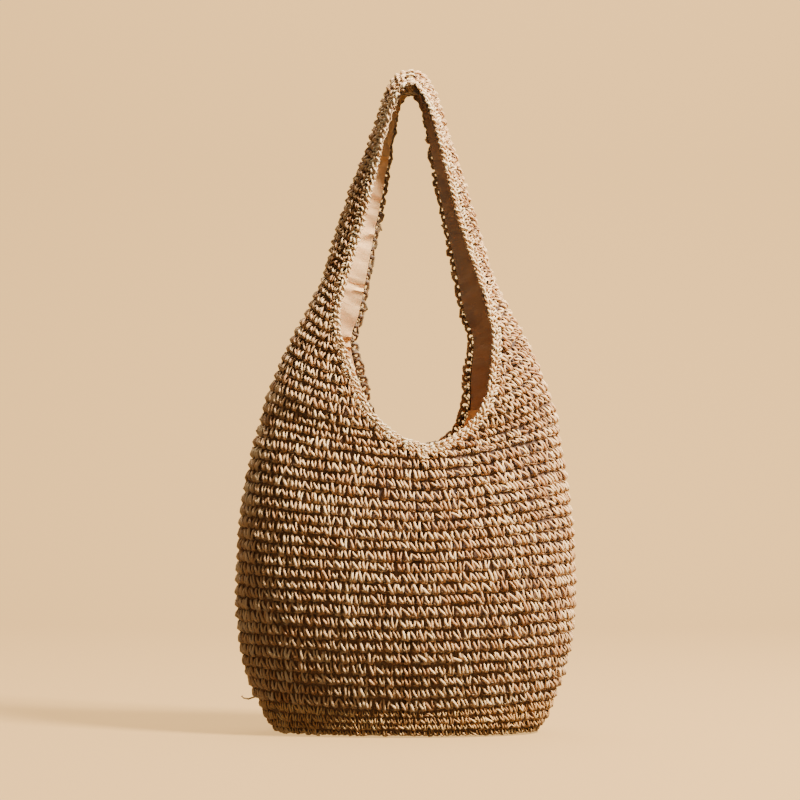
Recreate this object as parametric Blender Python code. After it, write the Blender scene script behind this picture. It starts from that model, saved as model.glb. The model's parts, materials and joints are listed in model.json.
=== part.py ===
"""Crocheted straw hobo bag, standing on its base with its wide strap held upright.

Metres, +Z up, the front faces -Y. The origin is on the floor, under the middle of the base.
Crochet, lining and edging all lie on one bag surface, each at its own depth below it, so the
layers stay parallel. A place on that surface is given by its side (-1 left, 1 right), the height
of its row at the side of the bag, and its turn round the row: -1 at the front edge, 0 at the side
of the bag, 1 at the back edge. Rows sag towards both edges.
"""

import math

import bpy
import numpy as np
from mathutils import Matrix, Vector

SIDES = (-1, 1)

# Heights of the rows where pieces begin and end.
BODY_BOTTOM = 0.034
MOUTH_ROW = 0.300
SHOULDER_LOW = 0.350
SHOULDER_HIGH = 0.440
SEAM_ROW = 0.659
TOP = 0.660
FOLD_AXIS = 0.395

# The bag's outlines, as (height, size) points joined by smooth curves.
HALF_WIDTH = (
    (0.034, 0.148), (0.060, 0.158), (0.095, 0.1655), (0.140, 0.1685), (0.190, 0.167), (0.240, 0.1615),
    (0.285, 0.153), (0.320, 0.1455), (0.350, 0.1345), (0.385, 0.1195), (0.420, 0.1005), (0.450, 0.0865),
    (0.490, 0.0745), (0.540, 0.0585), (0.600, 0.0375), (0.633, 0.0270), (0.650, 0.0185), (0.657, 0.0105),
    (0.660, 0.0),
)
HALF_DEPTH = (
    (0.034, 0.057), (0.065, 0.065), (0.105, 0.072), (0.150, 0.075), (0.205, 0.0735), (0.255, 0.068),
    (0.300, 0.061), (0.350, 0.050), (0.400, 0.037), (0.440, 0.027), (0.500, 0.020), (0.560, 0.0205),
    (0.610, 0.0235), (0.645, 0.026), (0.660, 0.026),
)
EDGE_DROP = (
    (0.034, 0.008), (0.060, 0.006), (0.130, 0.006), (0.190, 0.011), (0.245, 0.019), (0.300, 0.0255),
    (0.330, 0.0300), (0.360, 0.0280), (0.400, 0.0220), (0.440, 0.0150), (0.500, 0.0115), (0.585, 0.0090),
    (0.630, 0.0115), (0.660, 0.0170),
)
FRONT_EDGE = (
    (0.2745, 0.0), (0.2790, 0.018), (0.2850, 0.031), (0.2930, 0.042), (0.3050, 0.0545), (0.3200, 0.0635),
    (0.3400, 0.0705), (0.3670, 0.0765), (0.3950, 0.0805), (0.4180, 0.0775), (0.4450, 0.0698),
    (0.5060, 0.0510), (0.5550, 0.0385), (0.6060, 0.0255), (0.6280, 0.0170), (0.6380, 0.0095),
    (0.6418, 0.0052), (0.6430, 0.0),
)
BACK_EDGE = (
    (0.2745, 0.0), (0.2800, 0.022), (0.2880, 0.034), (0.3000, 0.0450), (0.3200, 0.0530), (0.3550, 0.0570),
    (0.3900, 0.0625), (0.4200, 0.0535), (0.4480, 0.0475), (0.4910, 0.0390), (0.5420, 0.0290),
    (0.5750, 0.0235), (0.6090, 0.0190), (0.6280, 0.0145), (0.6380, 0.0090),
    (0.6418, 0.0052), (0.6430, 0.0),
)
SIDE_LEAN = (
    (0.034, -0.001), (0.200, 0.0), (0.285, 0.001), (0.310, 0.003), (0.500, 0.002), (0.600, 0.0045),
)
FRONT_LEAN = (
    (0.034, 0.0), (0.270, 0.020), (0.320, 0.0190), (0.370, 0.0138), (0.418, 0.0075), (0.600, 0.0045),
)
BACK_LEAN = (
    (0.034, 0.0), (0.270, 0.012), (0.320, 0.0108), (0.390, 0.0065), (0.450, 0.0060), (0.600, 0.0045),
)
EDGING_WIDTH = ((0.285, 0.0100), (0.340, 0.0080), (0.400, 0.0060), (0.450, 0.0045), (0.636, 0.0038))
ARM_HOLE_MIDDLE = 0.42
SAG_POWER = 1.6

# How far a row curls round from the side of the bag to either edge, in degrees, by height: a full
# quarter turn where the two sides of the bag meet, and less in the open strap.
ROW_CURL = ((0.270, 90.0), (0.300, 90.0), (0.350, 82.0), (0.400, 68.0), (0.440, 60.0))

# Depths below the bag surface.
CROCHET = (0.0, -0.0040)
LINING = (-0.0046, -0.0056)
STRAP_LINING = (-0.0045, -0.0053)
TOP_SEAM = (0.0006, -0.0040)
GAP = 0.0004
EDGING_GAP = 0.0012
LINING_REACH = 0.94
SIDE_SEAM_TURN = 0.004

# Rows of mesh along each piece, by height.
BODY_ROWS = (
    BODY_BOTTOM, 0.058, 0.090, 0.128, 0.168, 0.208, 0.246, 0.276,
    MOUTH_ROW, 0.3045, 0.311, 0.321, 0.334, SHOULDER_LOW,
)
SHOULDER_ROWS = (SHOULDER_LOW + 2 * GAP, 0.368, 0.386, 0.404, 0.422, SHOULDER_HIGH - GAP)
STRAP_ROWS = (
    SHOULDER_HIGH + GAP, 0.464, 0.492, 0.522, 0.554, 0.586, 0.612, 0.632, 0.646, 0.654, SEAM_ROW - GAP / 2,
)
TOP_ROWS = (SEAM_ROW, TOP)
QUARTER = 6

# The base.
BASE_MIDDLE = (0.012, 0.1385, 0.0545)
BASE_FLOOR = (0.0, 0.127, 0.0495)
BASE_THICK = 0.0045
BOARD_THICK = 0.0016
BASE_LINING_THICK = 0.0008
BOARD_INSET = 0.008
BOARD_GAP = 0.0004
LINING_RIM_DROP = 0.0002
LINING_SLACK = (0.0006, 0.0008)

# What is sewn to the lining.
POCKET_WALL = 0.0525
CLOTH = 0.0009
ZIP_HEIGHT = 0.216
ZIP_HALF_LENGTH = 0.062
ZIP_POCKET_HALF_WIDTH = 0.070
ZIP_POCKET_BOTTOM = 0.112
ZIP_BAND_TOP = 0.236
ZIP_SLOT_HALF = 0.0035
TAPE_WIDTH = 0.0100
TAPE_END = 0.006
TAPE_CLEARANCE = 0.0004
STOP_OFFSET = 0.003
STOP_SIZE = (0.0032, 0.0012, 0.0052)
STOP_BEHIND = 0.0002
TOOTH_CLEARANCE = 0.0001
TOOTH_TAPER = 0.0005
TOOTH_OVERLAP = 0.0004
TOOTH_PITCH = 0.0040
TOOTH_SIZE = (0.0022, 0.0016, 0.0013)
TEETH_SPINE = 0.0009
SLIP_POCKET_HALF_WIDTH = 0.060
SLIP_POCKET_SPAN = (0.116, 0.200)
SLIDER_BODY = (0.0105, 0.0022, 0.0085)
POST_RADIUS = 0.0009
POST_HEAD_RADIUS = 0.0019
POST_HEAD_THICK = 0.0008
PULL_LENGTH = 0.024
PULL_WIDTH = 0.0062
PULL_THICK = 0.0011
PULL_TAPER = 0.0007
PULL_CORNER = 0.0014
PULL_CLEARANCE = 0.0004
SNAP_HEIGHT = 0.281
SNAP_RADIUS = 0.0088
SNAP_HOLE = 0.0033
SNAP_PIN = 0.0028
SNAP_PATCH_RADIUS = 0.0150
SNAP_PATCH_THICK = 0.0010
SNAP_CLEARANCE = 0.0022
SOCKET_THICK = 0.0028
SOCKET_BEVEL = (0.0008, 0.0006)
STUD_PLATE = 0.0014
STUD_PIN = 0.0024
STUD_BEVEL = 0.0005
LABEL_SIZE = (0.011, 0.0006, 0.022)
LABEL_PLACE = (-0.1545, 0.0, 0.206)

# Colour, roughness and metallic value of each material.
MATERIALS = {
    "straw": ((0.50, 0.30, 0.145), 0.62, 0.0),
    "straw_edging": ((0.56, 0.345, 0.17), 0.60, 0.0),
    "lining_cloth": ((0.66, 0.43, 0.29), 0.80, 0.0),
    "base_board": ((0.10, 0.085, 0.07), 0.70, 0.0),
    "zip_tape": ((0.60, 0.40, 0.27), 0.85, 0.0),
    "zip_metal": ((0.62, 0.48, 0.26), 0.30, 1.0),
    "snap_metal": ((0.62, 0.48, 0.26), 0.28, 1.0),
    "label_satin": ((0.86, 0.83, 0.78), 0.45, 0.0),
}


def smooth_profile(points):
    """A function that reads a smooth curve through the points, with no overshoot between them."""
    at = np.array([point[0] for point in points])
    value = np.array([point[1] for point in points])
    step = np.diff(at)
    rise = np.diff(value) / step
    slope = np.concatenate(([rise[0]], np.zeros(len(points) - 2), [rise[-1]]))
    for i in range(1, len(points) - 1):
        if rise[i - 1] * rise[i] > 0:
            near = 2 * step[i] + step[i - 1]
            far = step[i] + 2 * step[i - 1]
            slope[i] = (near + far) / (near / rise[i - 1] + far / rise[i])

    def read(where):
        where = min(max(where, at[0]), at[-1])
        i = min(int(np.searchsorted(at, where, side="right")) - 1, len(step) - 1)
        t = (where - at[i]) / step[i]
        ends = value[i] * (1 + 2 * t) * (1 - t) ** 2 + value[i + 1] * t * t * (3 - 2 * t)
        bends = slope[i] * t * (1 - t) ** 2 + slope[i + 1] * t * t * (t - 1)
        return float(ends + step[i] * bends)

    return read


half_width = smooth_profile(HALF_WIDTH)
half_depth = smooth_profile(HALF_DEPTH)
edge_drop = smooth_profile(EDGE_DROP)
edge_half_width = {-1: smooth_profile(FRONT_EDGE), 1: smooth_profile(BACK_EDGE)}
edge_lean = {-1: smooth_profile(FRONT_LEAN), 1: smooth_profile(BACK_LEAN)}
side_lean = smooth_profile(SIDE_LEAN)
edging_width = smooth_profile(EDGING_WIDTH)
row_curl = smooth_profile(ROW_CURL)


def surface_point(side, height, turn):
    """The point of the bag surface on this side's row at this turn."""
    face = 1 if turn > 0 else -1
    edge_height = height - edge_drop(height)
    edge_x = edge_lean[face](edge_height) + side * edge_half_width[face](edge_height)
    side_x = side_lean(height) + side * half_width(height)
    curl = math.radians(row_curl(height))
    angle = abs(turn) * curl
    outward = max((math.cos(angle) - math.cos(curl)) / (1 - math.cos(curl)), 0.0)
    return Vector((
        edge_x + (side_x - edge_x) * outward,
        face * half_depth(height) * math.sin(angle) / math.sin(curl),
        edge_height + (height - edge_height) * outward ** SAG_POWER,
    ))


def surface_normal(side, height, turn):
    """The outward direction at that point. Rows that both sides share get the mean of the two."""
    turn_step = 1e-3
    height_step = 1e-4
    shared = (abs(turn) == 1 and height <= MOUTH_ROW) or height >= TOP
    total = Vector((0.0, 0.0, 0.0))
    for one in SIDES if shared else (side,):
        before = max(turn - turn_step, -1)
        after = min(turn + turn_step, 1)
        low = max(height - height_step, BODY_BOTTOM)
        high = min(height + height_step, TOP)
        round_row = surface_point(one, height, after) - surface_point(one, height, before)
        up_bag = surface_point(one, high, turn) - surface_point(one, low, turn)
        total += one * round_row.cross(up_bag).normalized()
    return total.normalized()


def edge_direction(side, height, face):
    """The direction along an edge at this height, level where the two sides of the bag meet."""
    step = 2e-4
    if height in (MOUTH_ROW, TOP):
        near = height + step if height == MOUTH_ROW else height - step
        return (surface_point(1, near, face) - surface_point(-1, near, face)).normalized()
    return (surface_point(side, height + step, face) - surface_point(side, height - step, face)).normalized()


def material(name):
    """The named material, made on first use."""
    found = bpy.data.materials.get(name)
    if found:
        return found
    colour, roughness, metallic = MATERIALS[name]
    made = bpy.data.materials.new(name)
    made.use_nodes = True
    shader = made.node_tree.nodes["Principled BSDF"]
    shader.inputs["Base Color"].default_value = (*colour, 1.0)
    shader.inputs["Roughness"].default_value = roughness
    shader.inputs["Metallic"].default_value = metallic
    return made


def add_object(name, vertices, faces, finish, parent=None):
    """One named object with this mesh; its vertices are in world space, and a parent keeps them there."""
    mesh = bpy.data.meshes.new(name)
    origin = parent.location if parent else Vector((0.0, 0.0, 0.0))
    mesh.from_pydata([tuple(Vector(vertex) - origin) for vertex in vertices], [], faces)
    mesh.materials.append(material(finish))
    mesh.shade_smooth()
    mesh.set_sharp_from_angle(angle=math.radians(40))
    made = bpy.data.objects.new(name, mesh)
    bpy.context.scene.collection.objects.link(made)
    made.parent = parent
    return made


def joint_empty(name, place):
    """An empty on a joint's axis, for the pieces that move with it."""
    made = bpy.data.objects.new(name, None)
    made.location = place
    bpy.context.scene.collection.objects.link(made)
    return made


def turns(first, last):
    """Evenly spaced turns between two of them, with QUARTER columns to a quarter."""
    count = max(round(abs(last - first) * QUARTER), 1)
    return [first + (last - first) * i / count for i in range(count + 1)]


def shell(name, sides, rows, columns, depths, finish, parent=None):
    """A wall of even thickness on the bag surface, closed round all its edges.

    Rows at or below the mouth join the two sides at the front and back edges, and the top row
    joins them over the crown of the strap. Each cell is split along the same diagonal in every
    layer, so that layers one above another never cross.
    """
    outer, inner, index, cells = [], [], {}, []

    def corner(side, row, column):
        height, turn = rows[row], columns[column]
        shared = (abs(turn) == 1 and height <= MOUTH_ROW) or height >= TOP
        key = (0 if shared else side, row, column)
        if key not in index:
            index[key] = len(outer)
            point = surface_point(side, height, turn)
            normal = surface_normal(side, height, turn)
            outer.append(point + normal * depths[0])
            inner.append(point + normal * depths[1])
        return index[key]

    for side in sides:
        for row in range(len(rows) - 1):
            for column in range(len(columns) - 1):
                around = [(row, column), (row, column + 1), (row + 1, column + 1), (row + 1, column)]
                a, b, c, d = (corner(side, *place) for place in around)
                halves = [[a, b, c], [a, c, d]]
                cells += halves if side > 0 else [half[::-1] for half in halves]
    return thick_sheet(name, outer, inner, cells, finish, parent)


def thick_sheet(name, outer, inner, cells, finish, parent=None):
    """A closed solid between two matching layers of points, joined by a rim along every open edge."""
    count = len(outer)
    directed = {(a, b) for cell in cells for a, b in zip(cell, cell[1:] + cell[:1])}
    faces = [tuple(cell) for cell in cells]
    faces += [tuple(corner + count for corner in reversed(cell)) for cell in cells]
    for a, b in sorted(directed):
        if (b, a) not in directed:
            faces.append((b, a, a + count, b + count))
    return add_object(name, outer + inner, faces, finish, parent)


def edging(name, face, places, depths, finish, parent=None):
    """A crocheted band along an edge. Places are the (side, height) pairs of the edge, in order."""
    edge = [surface_point(side, height, face) for side, height in places]
    outer, inner, cells = [], [], []
    for i, (side, height) in enumerate(places):
        normal = surface_normal(side, height, face)
        across = normal.cross(edge_direction(side, height, face)).normalized()
        to_middle = Vector((edge_lean[face](height), edge[i].y, ARM_HOLE_MIDDLE)) - edge[i]
        if across.dot(to_middle) < 0:
            across = -across
        for reach in (EDGING_GAP, edging_width(height - edge_drop(height))):
            outer.append(edge[i] + across * reach + normal * depths[0])
            inner.append(edge[i] + across * reach + normal * depths[1])
        if i:
            corner = 2 * i
            cells.append([corner - 2, corner, corner + 1, corner - 1])
    first = cells[0]
    a, b, c = (outer[first[n]] for n in range(3))
    if (b - a).cross(c - b).dot(surface_normal(*places[0], face)) < 0:
        cells = [cell[::-1] for cell in cells]
    return thick_sheet(name, outer, inner, cells, finish, parent)


def ring(height, width, depth, centre=0.0):
    """Points of a level oval, at the same turns as the columns of the bag surface."""
    count = 4 * QUARTER
    points = []
    for i in range(count):
        angle = 2 * math.pi * i / count
        points.append(Vector((centre + width * math.sin(angle), -depth * math.cos(angle), height)))
    return points


def bottom_ring(depth, drop):
    """The body's lowest row, at a depth below the surface and lowered by a drop."""
    columns = turns(-1, 1)
    places = [(1, turn) for turn in columns[:-1]] + [(-1, turn) for turn in reversed(columns[1:])]
    points = []
    for side, turn in places:
        normal = surface_normal(side, BODY_BOTTOM, turn)
        points.append(surface_point(side, BODY_BOTTOM, turn) + normal * depth - Vector((0.0, 0.0, drop)))
    return points


def loft(name, rings, finish, parent=None):
    """A closed solid through rings of equal count, from its first ring's cap to its last one's."""
    count = len(rings[0])
    vertices = [point for one in rings for point in one]
    faces = [tuple(reversed(range(count)))]
    for level in range(len(rings) - 1):
        for i in range(count):
            a = level * count + i
            b = level * count + (i + 1) % count
            faces.append((a, b, b + count, a + count))
    faces.append(tuple(range((len(rings) - 1) * count, len(rings) * count)))
    return add_object(name, vertices, faces, finish, parent)


def box(name, low, high, finish, parent=None):
    """An upright block between two corners."""
    section = [(low[0], low[1]), (high[0], low[1]), (high[0], high[1]), (low[0], high[1])]
    rings = [[Vector((x, y, z)) for x, y in section] for z in (low[2], high[2])]
    return loft(name, rings, finish, parent)


def turned(name, profile, frame, finish, segments=24):
    """A closed solid of revolution. The profile is (radius, height) points round a closed section,
    or from the axis to the axis; the frame places its axis, which is local Z."""
    on_axis = profile[0][0] == 0
    rounds = profile[1:-1] if on_axis else profile
    vertices = []
    for radius, height in rounds:
        for i in range(segments):
            angle = 2 * math.pi * i / segments
            vertices.append(frame @ Vector((radius * math.cos(angle), radius * math.sin(angle), height)))
    faces = []
    levels = len(rounds)
    for level in range(levels - 1 if on_axis else levels):
        above = (level + 1) % levels
        for i in range(segments):
            j = (i + 1) % segments
            faces.append((
                level * segments + i, level * segments + j, above * segments + j, above * segments + i,
            ))
    if on_axis:
        faces.append(tuple(reversed(range(segments))))
        faces.append(tuple(range((levels - 1) * segments, levels * segments)))
    return add_object(name, vertices, faces, finish)


def build_crochet(strap):
    """The crocheted outer: base, body, shoulders, strap halves and the seam over the strap's crown."""
    top_outer = bottom_ring(CROCHET[0], GAP)
    top_inner = bottom_ring(CROCHET[1], GAP)
    thick = -CROCHET[1]
    middle = ring(*BASE_MIDDLE)
    middle_inner = ring(BASE_MIDDLE[0], BASE_MIDDLE[1] - thick, BASE_MIDDLE[2] - thick)
    floor = ring(*BASE_FLOOR)
    floor_inner = ring(BASE_THICK, BASE_FLOOR[1] - thick / 2, BASE_FLOOR[2] - thick / 2)
    loft("crochet_base", [floor, middle, top_outer, top_inner, middle_inner, floor_inner], "straw")
    shell("crochet_body", SIDES, BODY_ROWS, turns(-1, 1), CROCHET, "straw")
    for side, word in zip(SIDES, ("left", "right")):
        shell(f"crochet_shoulder_{word}", (side,), SHOULDER_ROWS, turns(-1, 1), CROCHET, "straw")
        shell(f"crochet_strap_{word}", (side,), STRAP_ROWS, turns(-1, 1), CROCHET, "straw", strap)
    shell("strap_top_seam", SIDES, TOP_ROWS, turns(-1, 1), TOP_SEAM, "straw_edging", strap)


def build_edgings(strap):
    """The bands along the mouth, up the shoulders and along both edges of the strap."""
    mouth_rows = [height for height in BODY_ROWS if height > MOUTH_ROW]
    for face, word in ((-1, "front"), (1, "back")):
        mouth = [(-1, height) for height in reversed(mouth_rows)]
        mouth += [(1, MOUTH_ROW)] + [(1, height) for height in mouth_rows]
        edging(f"mouth_edging_{word}", face, mouth, CROCHET, "straw_edging")
        for side, hand in zip(SIDES, ("left", "right")):
            shoulder = [(side, height) for height in SHOULDER_ROWS]
            edging(f"shoulder_edging_{word}_{hand}", face, shoulder, CROCHET, "straw_edging")
        strap_rows = list(STRAP_ROWS)
        over = [(-1, height) for height in strap_rows] + [(1, TOP)]
        over += [(1, height) for height in reversed(strap_rows)]
        edging(f"strap_edging_{word}", face, over, CROCHET, "straw_edging", strap)


def build_lining(strap):
    """The cloth inside: base board, base, front and back panels, and the strap's two facings."""
    floor = BASE_THICK + BOARD_GAP
    board_size = (BASE_FLOOR[1] - BOARD_INSET, BASE_FLOOR[2] - BOARD_INSET)
    board = [ring(height, *board_size) for height in (floor, floor + BOARD_THICK)]
    loft("base_board", board, "base_board")
    under = floor + BOARD_THICK + BOARD_GAP
    over = under + BASE_LINING_THICK
    out_depth = -LINING[0]
    wall = -LINING[1]
    outer_slack, inner_slack = LINING_SLACK
    outer = out_depth + outer_slack
    inner = wall + inner_slack
    rings = [
        ring(under, BASE_FLOOR[1] - out_depth, BASE_FLOOR[2] - out_depth),
        ring(BASE_MIDDLE[0], BASE_MIDDLE[1] - outer, BASE_MIDDLE[2] - outer),
        bottom_ring(LINING[0], GAP - LINING_RIM_DROP),
        bottom_ring(LINING[1], GAP - LINING_RIM_DROP),
        ring(BASE_MIDDLE[0], BASE_MIDDLE[1] - inner, BASE_MIDDLE[2] - inner),
        ring(over, BASE_FLOOR[1] - inner, BASE_FLOOR[2] - inner),
    ]
    loft("lining_base", rings, "lining_cloth")
    front = turns(-1, 0)[:-1] + [-SIDE_SEAM_TURN]
    back = [SIDE_SEAM_TURN] + turns(0, 1)[1:]
    rows = [BODY_BOTTOM + GAP] + list(BODY_ROWS[1:-1]) + [SHOULDER_LOW - GAP]
    shell("lining_front", SIDES, rows, front, LINING, "lining_cloth")
    shell("lining_back", SIDES, rows, back, LINING, "lining_cloth")
    across = [-LINING_REACH] + turns(-1, 1)[1:-1] + [LINING_REACH]
    for side, word in zip(SIDES, ("left", "right")):
        shell(f"shoulder_lining_{word}", (side,), SHOULDER_ROWS, across, STRAP_LINING, "lining_cloth")
        shell(f"strap_lining_{word}", (side,), STRAP_ROWS, across, STRAP_LINING, "lining_cloth", strap)


def build_zip_pocket():
    """The patch pocket on the back lining with its zip, and the slider and pull that move."""
    back = POCKET_WALL
    face = back - CLOTH
    middle = ZIP_HEIGHT
    half = ZIP_POCKET_HALF_WIDTH
    panel_top = middle - ZIP_SLOT_HALF
    band_low = middle + ZIP_SLOT_HALF
    box("zip_pocket_panel", (-half, face, ZIP_POCKET_BOTTOM), (half, back, panel_top), "lining_cloth")
    box("zip_pocket_band", (-half, face, band_low), (half, back, ZIP_BAND_TOP), "lining_cloth")
    tape_back = back + GAP
    tape_face = tape_back + CLOTH
    seam = TEETH_SPINE + TOOTH_SIZE[2] / 2 + TAPE_CLEARANCE
    for word, sign in (("upper", 1), ("lower", -1)):
        near, far = middle + sign * seam, middle + sign * (seam + TAPE_WIDTH)
        low = (-ZIP_HALF_LENGTH - TAPE_END, tape_back, min(near, far))
        high = (ZIP_HALF_LENGTH + TAPE_END, tape_face, max(near, far))
        box(f"zip_tape_{word}", low, high, "zip_tape")
        build_teeth(word, sign, face)
    stop_length, stop_thick, stop_height = STOP_SIZE
    stop_x = ZIP_HALF_LENGTH + STOP_OFFSET
    for word, x in (("open_end", -stop_x), ("closed_end", stop_x)):
        low = (x - stop_length / 2, face - STOP_BEHIND, middle - stop_height / 2)
        high = (x + stop_length / 2, face - STOP_BEHIND + stop_thick, middle + stop_height / 2)
        box(f"zip_stop_{word}", low, high, "zip_metal")
    build_slider(face)


def build_teeth(word, sign, face):
    """One row of zip teeth: a thin spine along the tape with teeth that reach across the middle line."""
    length, thick, reach = TOOTH_SIZE
    shift = 0 if sign > 0 else TOOTH_PITCH / 2
    spine_near = ZIP_HEIGHT + sign * (TOOTH_SIZE[2] / 2 + TOOTH_CLEARANCE)
    spine_far = spine_near + sign * TEETH_SPINE
    tip = spine_near - sign * (reach - TOOTH_OVERLAP)
    count = int(2 * (ZIP_HALF_LENGTH - TOOTH_PITCH) / TOOTH_PITCH)
    start = -count * TOOTH_PITCH / 2 + shift - TOOTH_PITCH / 4
    outline = [(-ZIP_HALF_LENGTH, spine_far)]
    outline.append((-ZIP_HALF_LENGTH, spine_near))
    for i in range(count):
        x = start + i * TOOTH_PITCH
        flank, end = x + TOOTH_TAPER, x + length
        outline += [(x, spine_near), (flank, tip), (end - TOOTH_TAPER, tip), (end, spine_near)]
    outline += [(ZIP_HALF_LENGTH, spine_near), (ZIP_HALF_LENGTH, spine_far)]
    near_y = face + TOOTH_CLEARANCE
    far_y = near_y + thick / 2
    points = outline if sign > 0 else outline[::-1]
    rings = [[Vector((x, y, z)) for x, z in points] for y in (near_y, far_y)]
    loft(f"zip_teeth_{word}", [one[::-1] for one in rings], "zip_metal")


def hide_tool(tool):
    """Marks an object as a tool of a Boolean, which is not part of the bag."""
    tool.hide_render = True
    tool.display_type = "WIRE"


def combine(target, tool, operation):
    """A Boolean between a piece and a tool shape."""
    hide_tool(tool)
    step = target.modifiers.new(operation.lower(), "BOOLEAN")
    step.operation = operation
    step.object = tool


def build_slider(face):
    """The slider in front of the teeth, with its headed post, and the pull that swings on the post."""
    length, thick, height = SLIDER_BODY
    back_y = face - GAP
    front_y = back_y - thick
    x = ZIP_HALF_LENGTH - length / 2
    z = ZIP_HEIGHT
    slider = joint_empty("zip_slider_joint", (x, front_y, z))
    low, high = (x - length / 2, front_y, z - height / 2), (x + length / 2, back_y, z + height / 2)
    plate = box("zip_slider", low, high, "zip_metal", slider)
    outward = Matrix.Translation((x, front_y, z)) @ Matrix.Rotation(math.pi / 2, 4, "X")
    neck = 2 * PULL_CLEARANCE + PULL_THICK
    sunk = -thick / 2
    post = [
        (0, sunk), (POST_RADIUS, sunk), (POST_RADIUS, neck), (POST_HEAD_RADIUS, neck),
        (POST_HEAD_RADIUS, neck + POST_HEAD_THICK), (0, neck + POST_HEAD_THICK),
    ]
    combine(plate, turned("zip_slider_post", post, outward, "zip_metal", 16), "UNION")
    build_pull(x, front_y - PULL_CLEARANCE, z)


def build_pull(x, back_y, z):
    """The zip pull: a tapered strip that hangs from its round eye."""
    pull = joint_empty("zip_pull_joint", (x, back_y, z))
    half, foot = PULL_WIDTH / 2, PULL_WIDTH / 2 - PULL_TAPER
    top, bottom = PULL_WIDTH / 2, -PULL_LENGTH
    corner = PULL_CORNER
    outline = [
        (-half, top - corner), (-foot, bottom + corner), (-foot + corner, bottom), (foot - corner, bottom),
        (foot, bottom + corner), (half, top - corner), (half - corner, top), (-half + corner, top),
    ]
    rings = [[Vector((x + px, y, z + pz)) for px, pz in outline] for y in (back_y - PULL_THICK, back_y)]
    strip = loft("zip_pull", rings, "zip_metal", pull)
    through = Matrix.Translation((x, back_y + PULL_THICK, z)) @ Matrix.Rotation(math.pi / 2, 4, "X")
    eye = POST_RADIUS + PULL_CLEARANCE
    hole = [(0, 0), (eye, 0), (eye, 3 * PULL_THICK), (0, 3 * PULL_THICK)]
    combine(strip, turned("zip_pull_eye", hole, through, "zip_metal", 16), "DIFFERENCE")


def build_slip_pocket():
    """The open patch pocket on the front lining."""
    half = SLIP_POCKET_HALF_WIDTH
    low, high = SLIP_POCKET_SPAN
    box("slip_pocket", (-half, -POCKET_WALL, low), (half, CLOTH - POCKET_WALL, high), "lining_cloth")


def build_snap():
    """The magnetic snap: a cloth patch on each panel, the ring socket in front and the stud behind."""
    for face, word in ((-1, "front"), (1, "back")):
        normal = surface_normal(1, SNAP_HEIGHT, face)
        point = surface_point(1, SNAP_HEIGHT, face) + normal * (LINING[1] - SNAP_CLEARANCE)
        frame = Matrix.Translation(point) @ (-normal).to_track_quat("Z", "Y").to_matrix().to_4x4()
        edge = SNAP_PATCH_RADIUS
        disc = [(0, 0), (edge, 0), (edge, SNAP_PATCH_THICK), (0, SNAP_PATCH_THICK)]
        turned(f"snap_patch_{word}", disc, frame, "lining_cloth")
        low = SNAP_PATCH_THICK + GAP
        if face < 0:
            high = low + SOCKET_THICK
            bevel_out, bevel_up = SOCKET_BEVEL
            socket = [
                (SNAP_HOLE, low), (SNAP_RADIUS, low), (SNAP_RADIUS, high - bevel_up),
                (SNAP_RADIUS - bevel_out, high), (SNAP_HOLE, high),
            ]
            turned("snap_socket", socket, frame, "snap_metal")
        else:
            plate = low + STUD_PLATE
            pin = plate + STUD_PIN
            stud = [
                (0, low), (SNAP_RADIUS, low), (SNAP_RADIUS, plate), (SNAP_PIN, plate),
                (SNAP_PIN, pin - STUD_BEVEL), (SNAP_PIN - STUD_BEVEL, pin), (0, pin),
            ]
            turned("snap_stud", stud, frame, "snap_metal")


def build_care_label():
    """A blank satin label standing out from the left side seam of the lining."""
    length, thick, height = LABEL_SIZE
    x, y, z = LABEL_PLACE
    low = (x, y - thick / 2, z - height / 2)
    high = (x + length, y + thick / 2, z + height / 2)
    box("care_label", low, high, "label_satin")


def build_bag():
    """Clears the scene and builds every piece."""
    for old in list(bpy.data.objects):
        bpy.data.objects.remove(old, do_unlink=True)
    strap = joint_empty("strap_fold_joint", (0.0, 0.0, FOLD_AXIS))
    build_crochet(strap)
    build_edgings(strap)
    build_lining(strap)
    build_zip_pocket()
    build_slip_pocket()
    build_snap()
    build_care_label()


build_bag()
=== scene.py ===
"""Looks of a crocheted straw hobo bag: rows of straw stitches, cloth lining, pockets, zip and snap.

Everything lies on one bag surface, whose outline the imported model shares. A place on it is a course
height, in metres, and a round, which runs once round the bag: 0 at the front middle, 1 at the right
side, 2 at the back middle and 3 at the left side.
"""

from __future__ import annotations

import json
import logging
import math
from dataclasses import dataclass, field
from enum import Enum
from typing import Callable, Iterable, Protocol, Sequence

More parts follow.
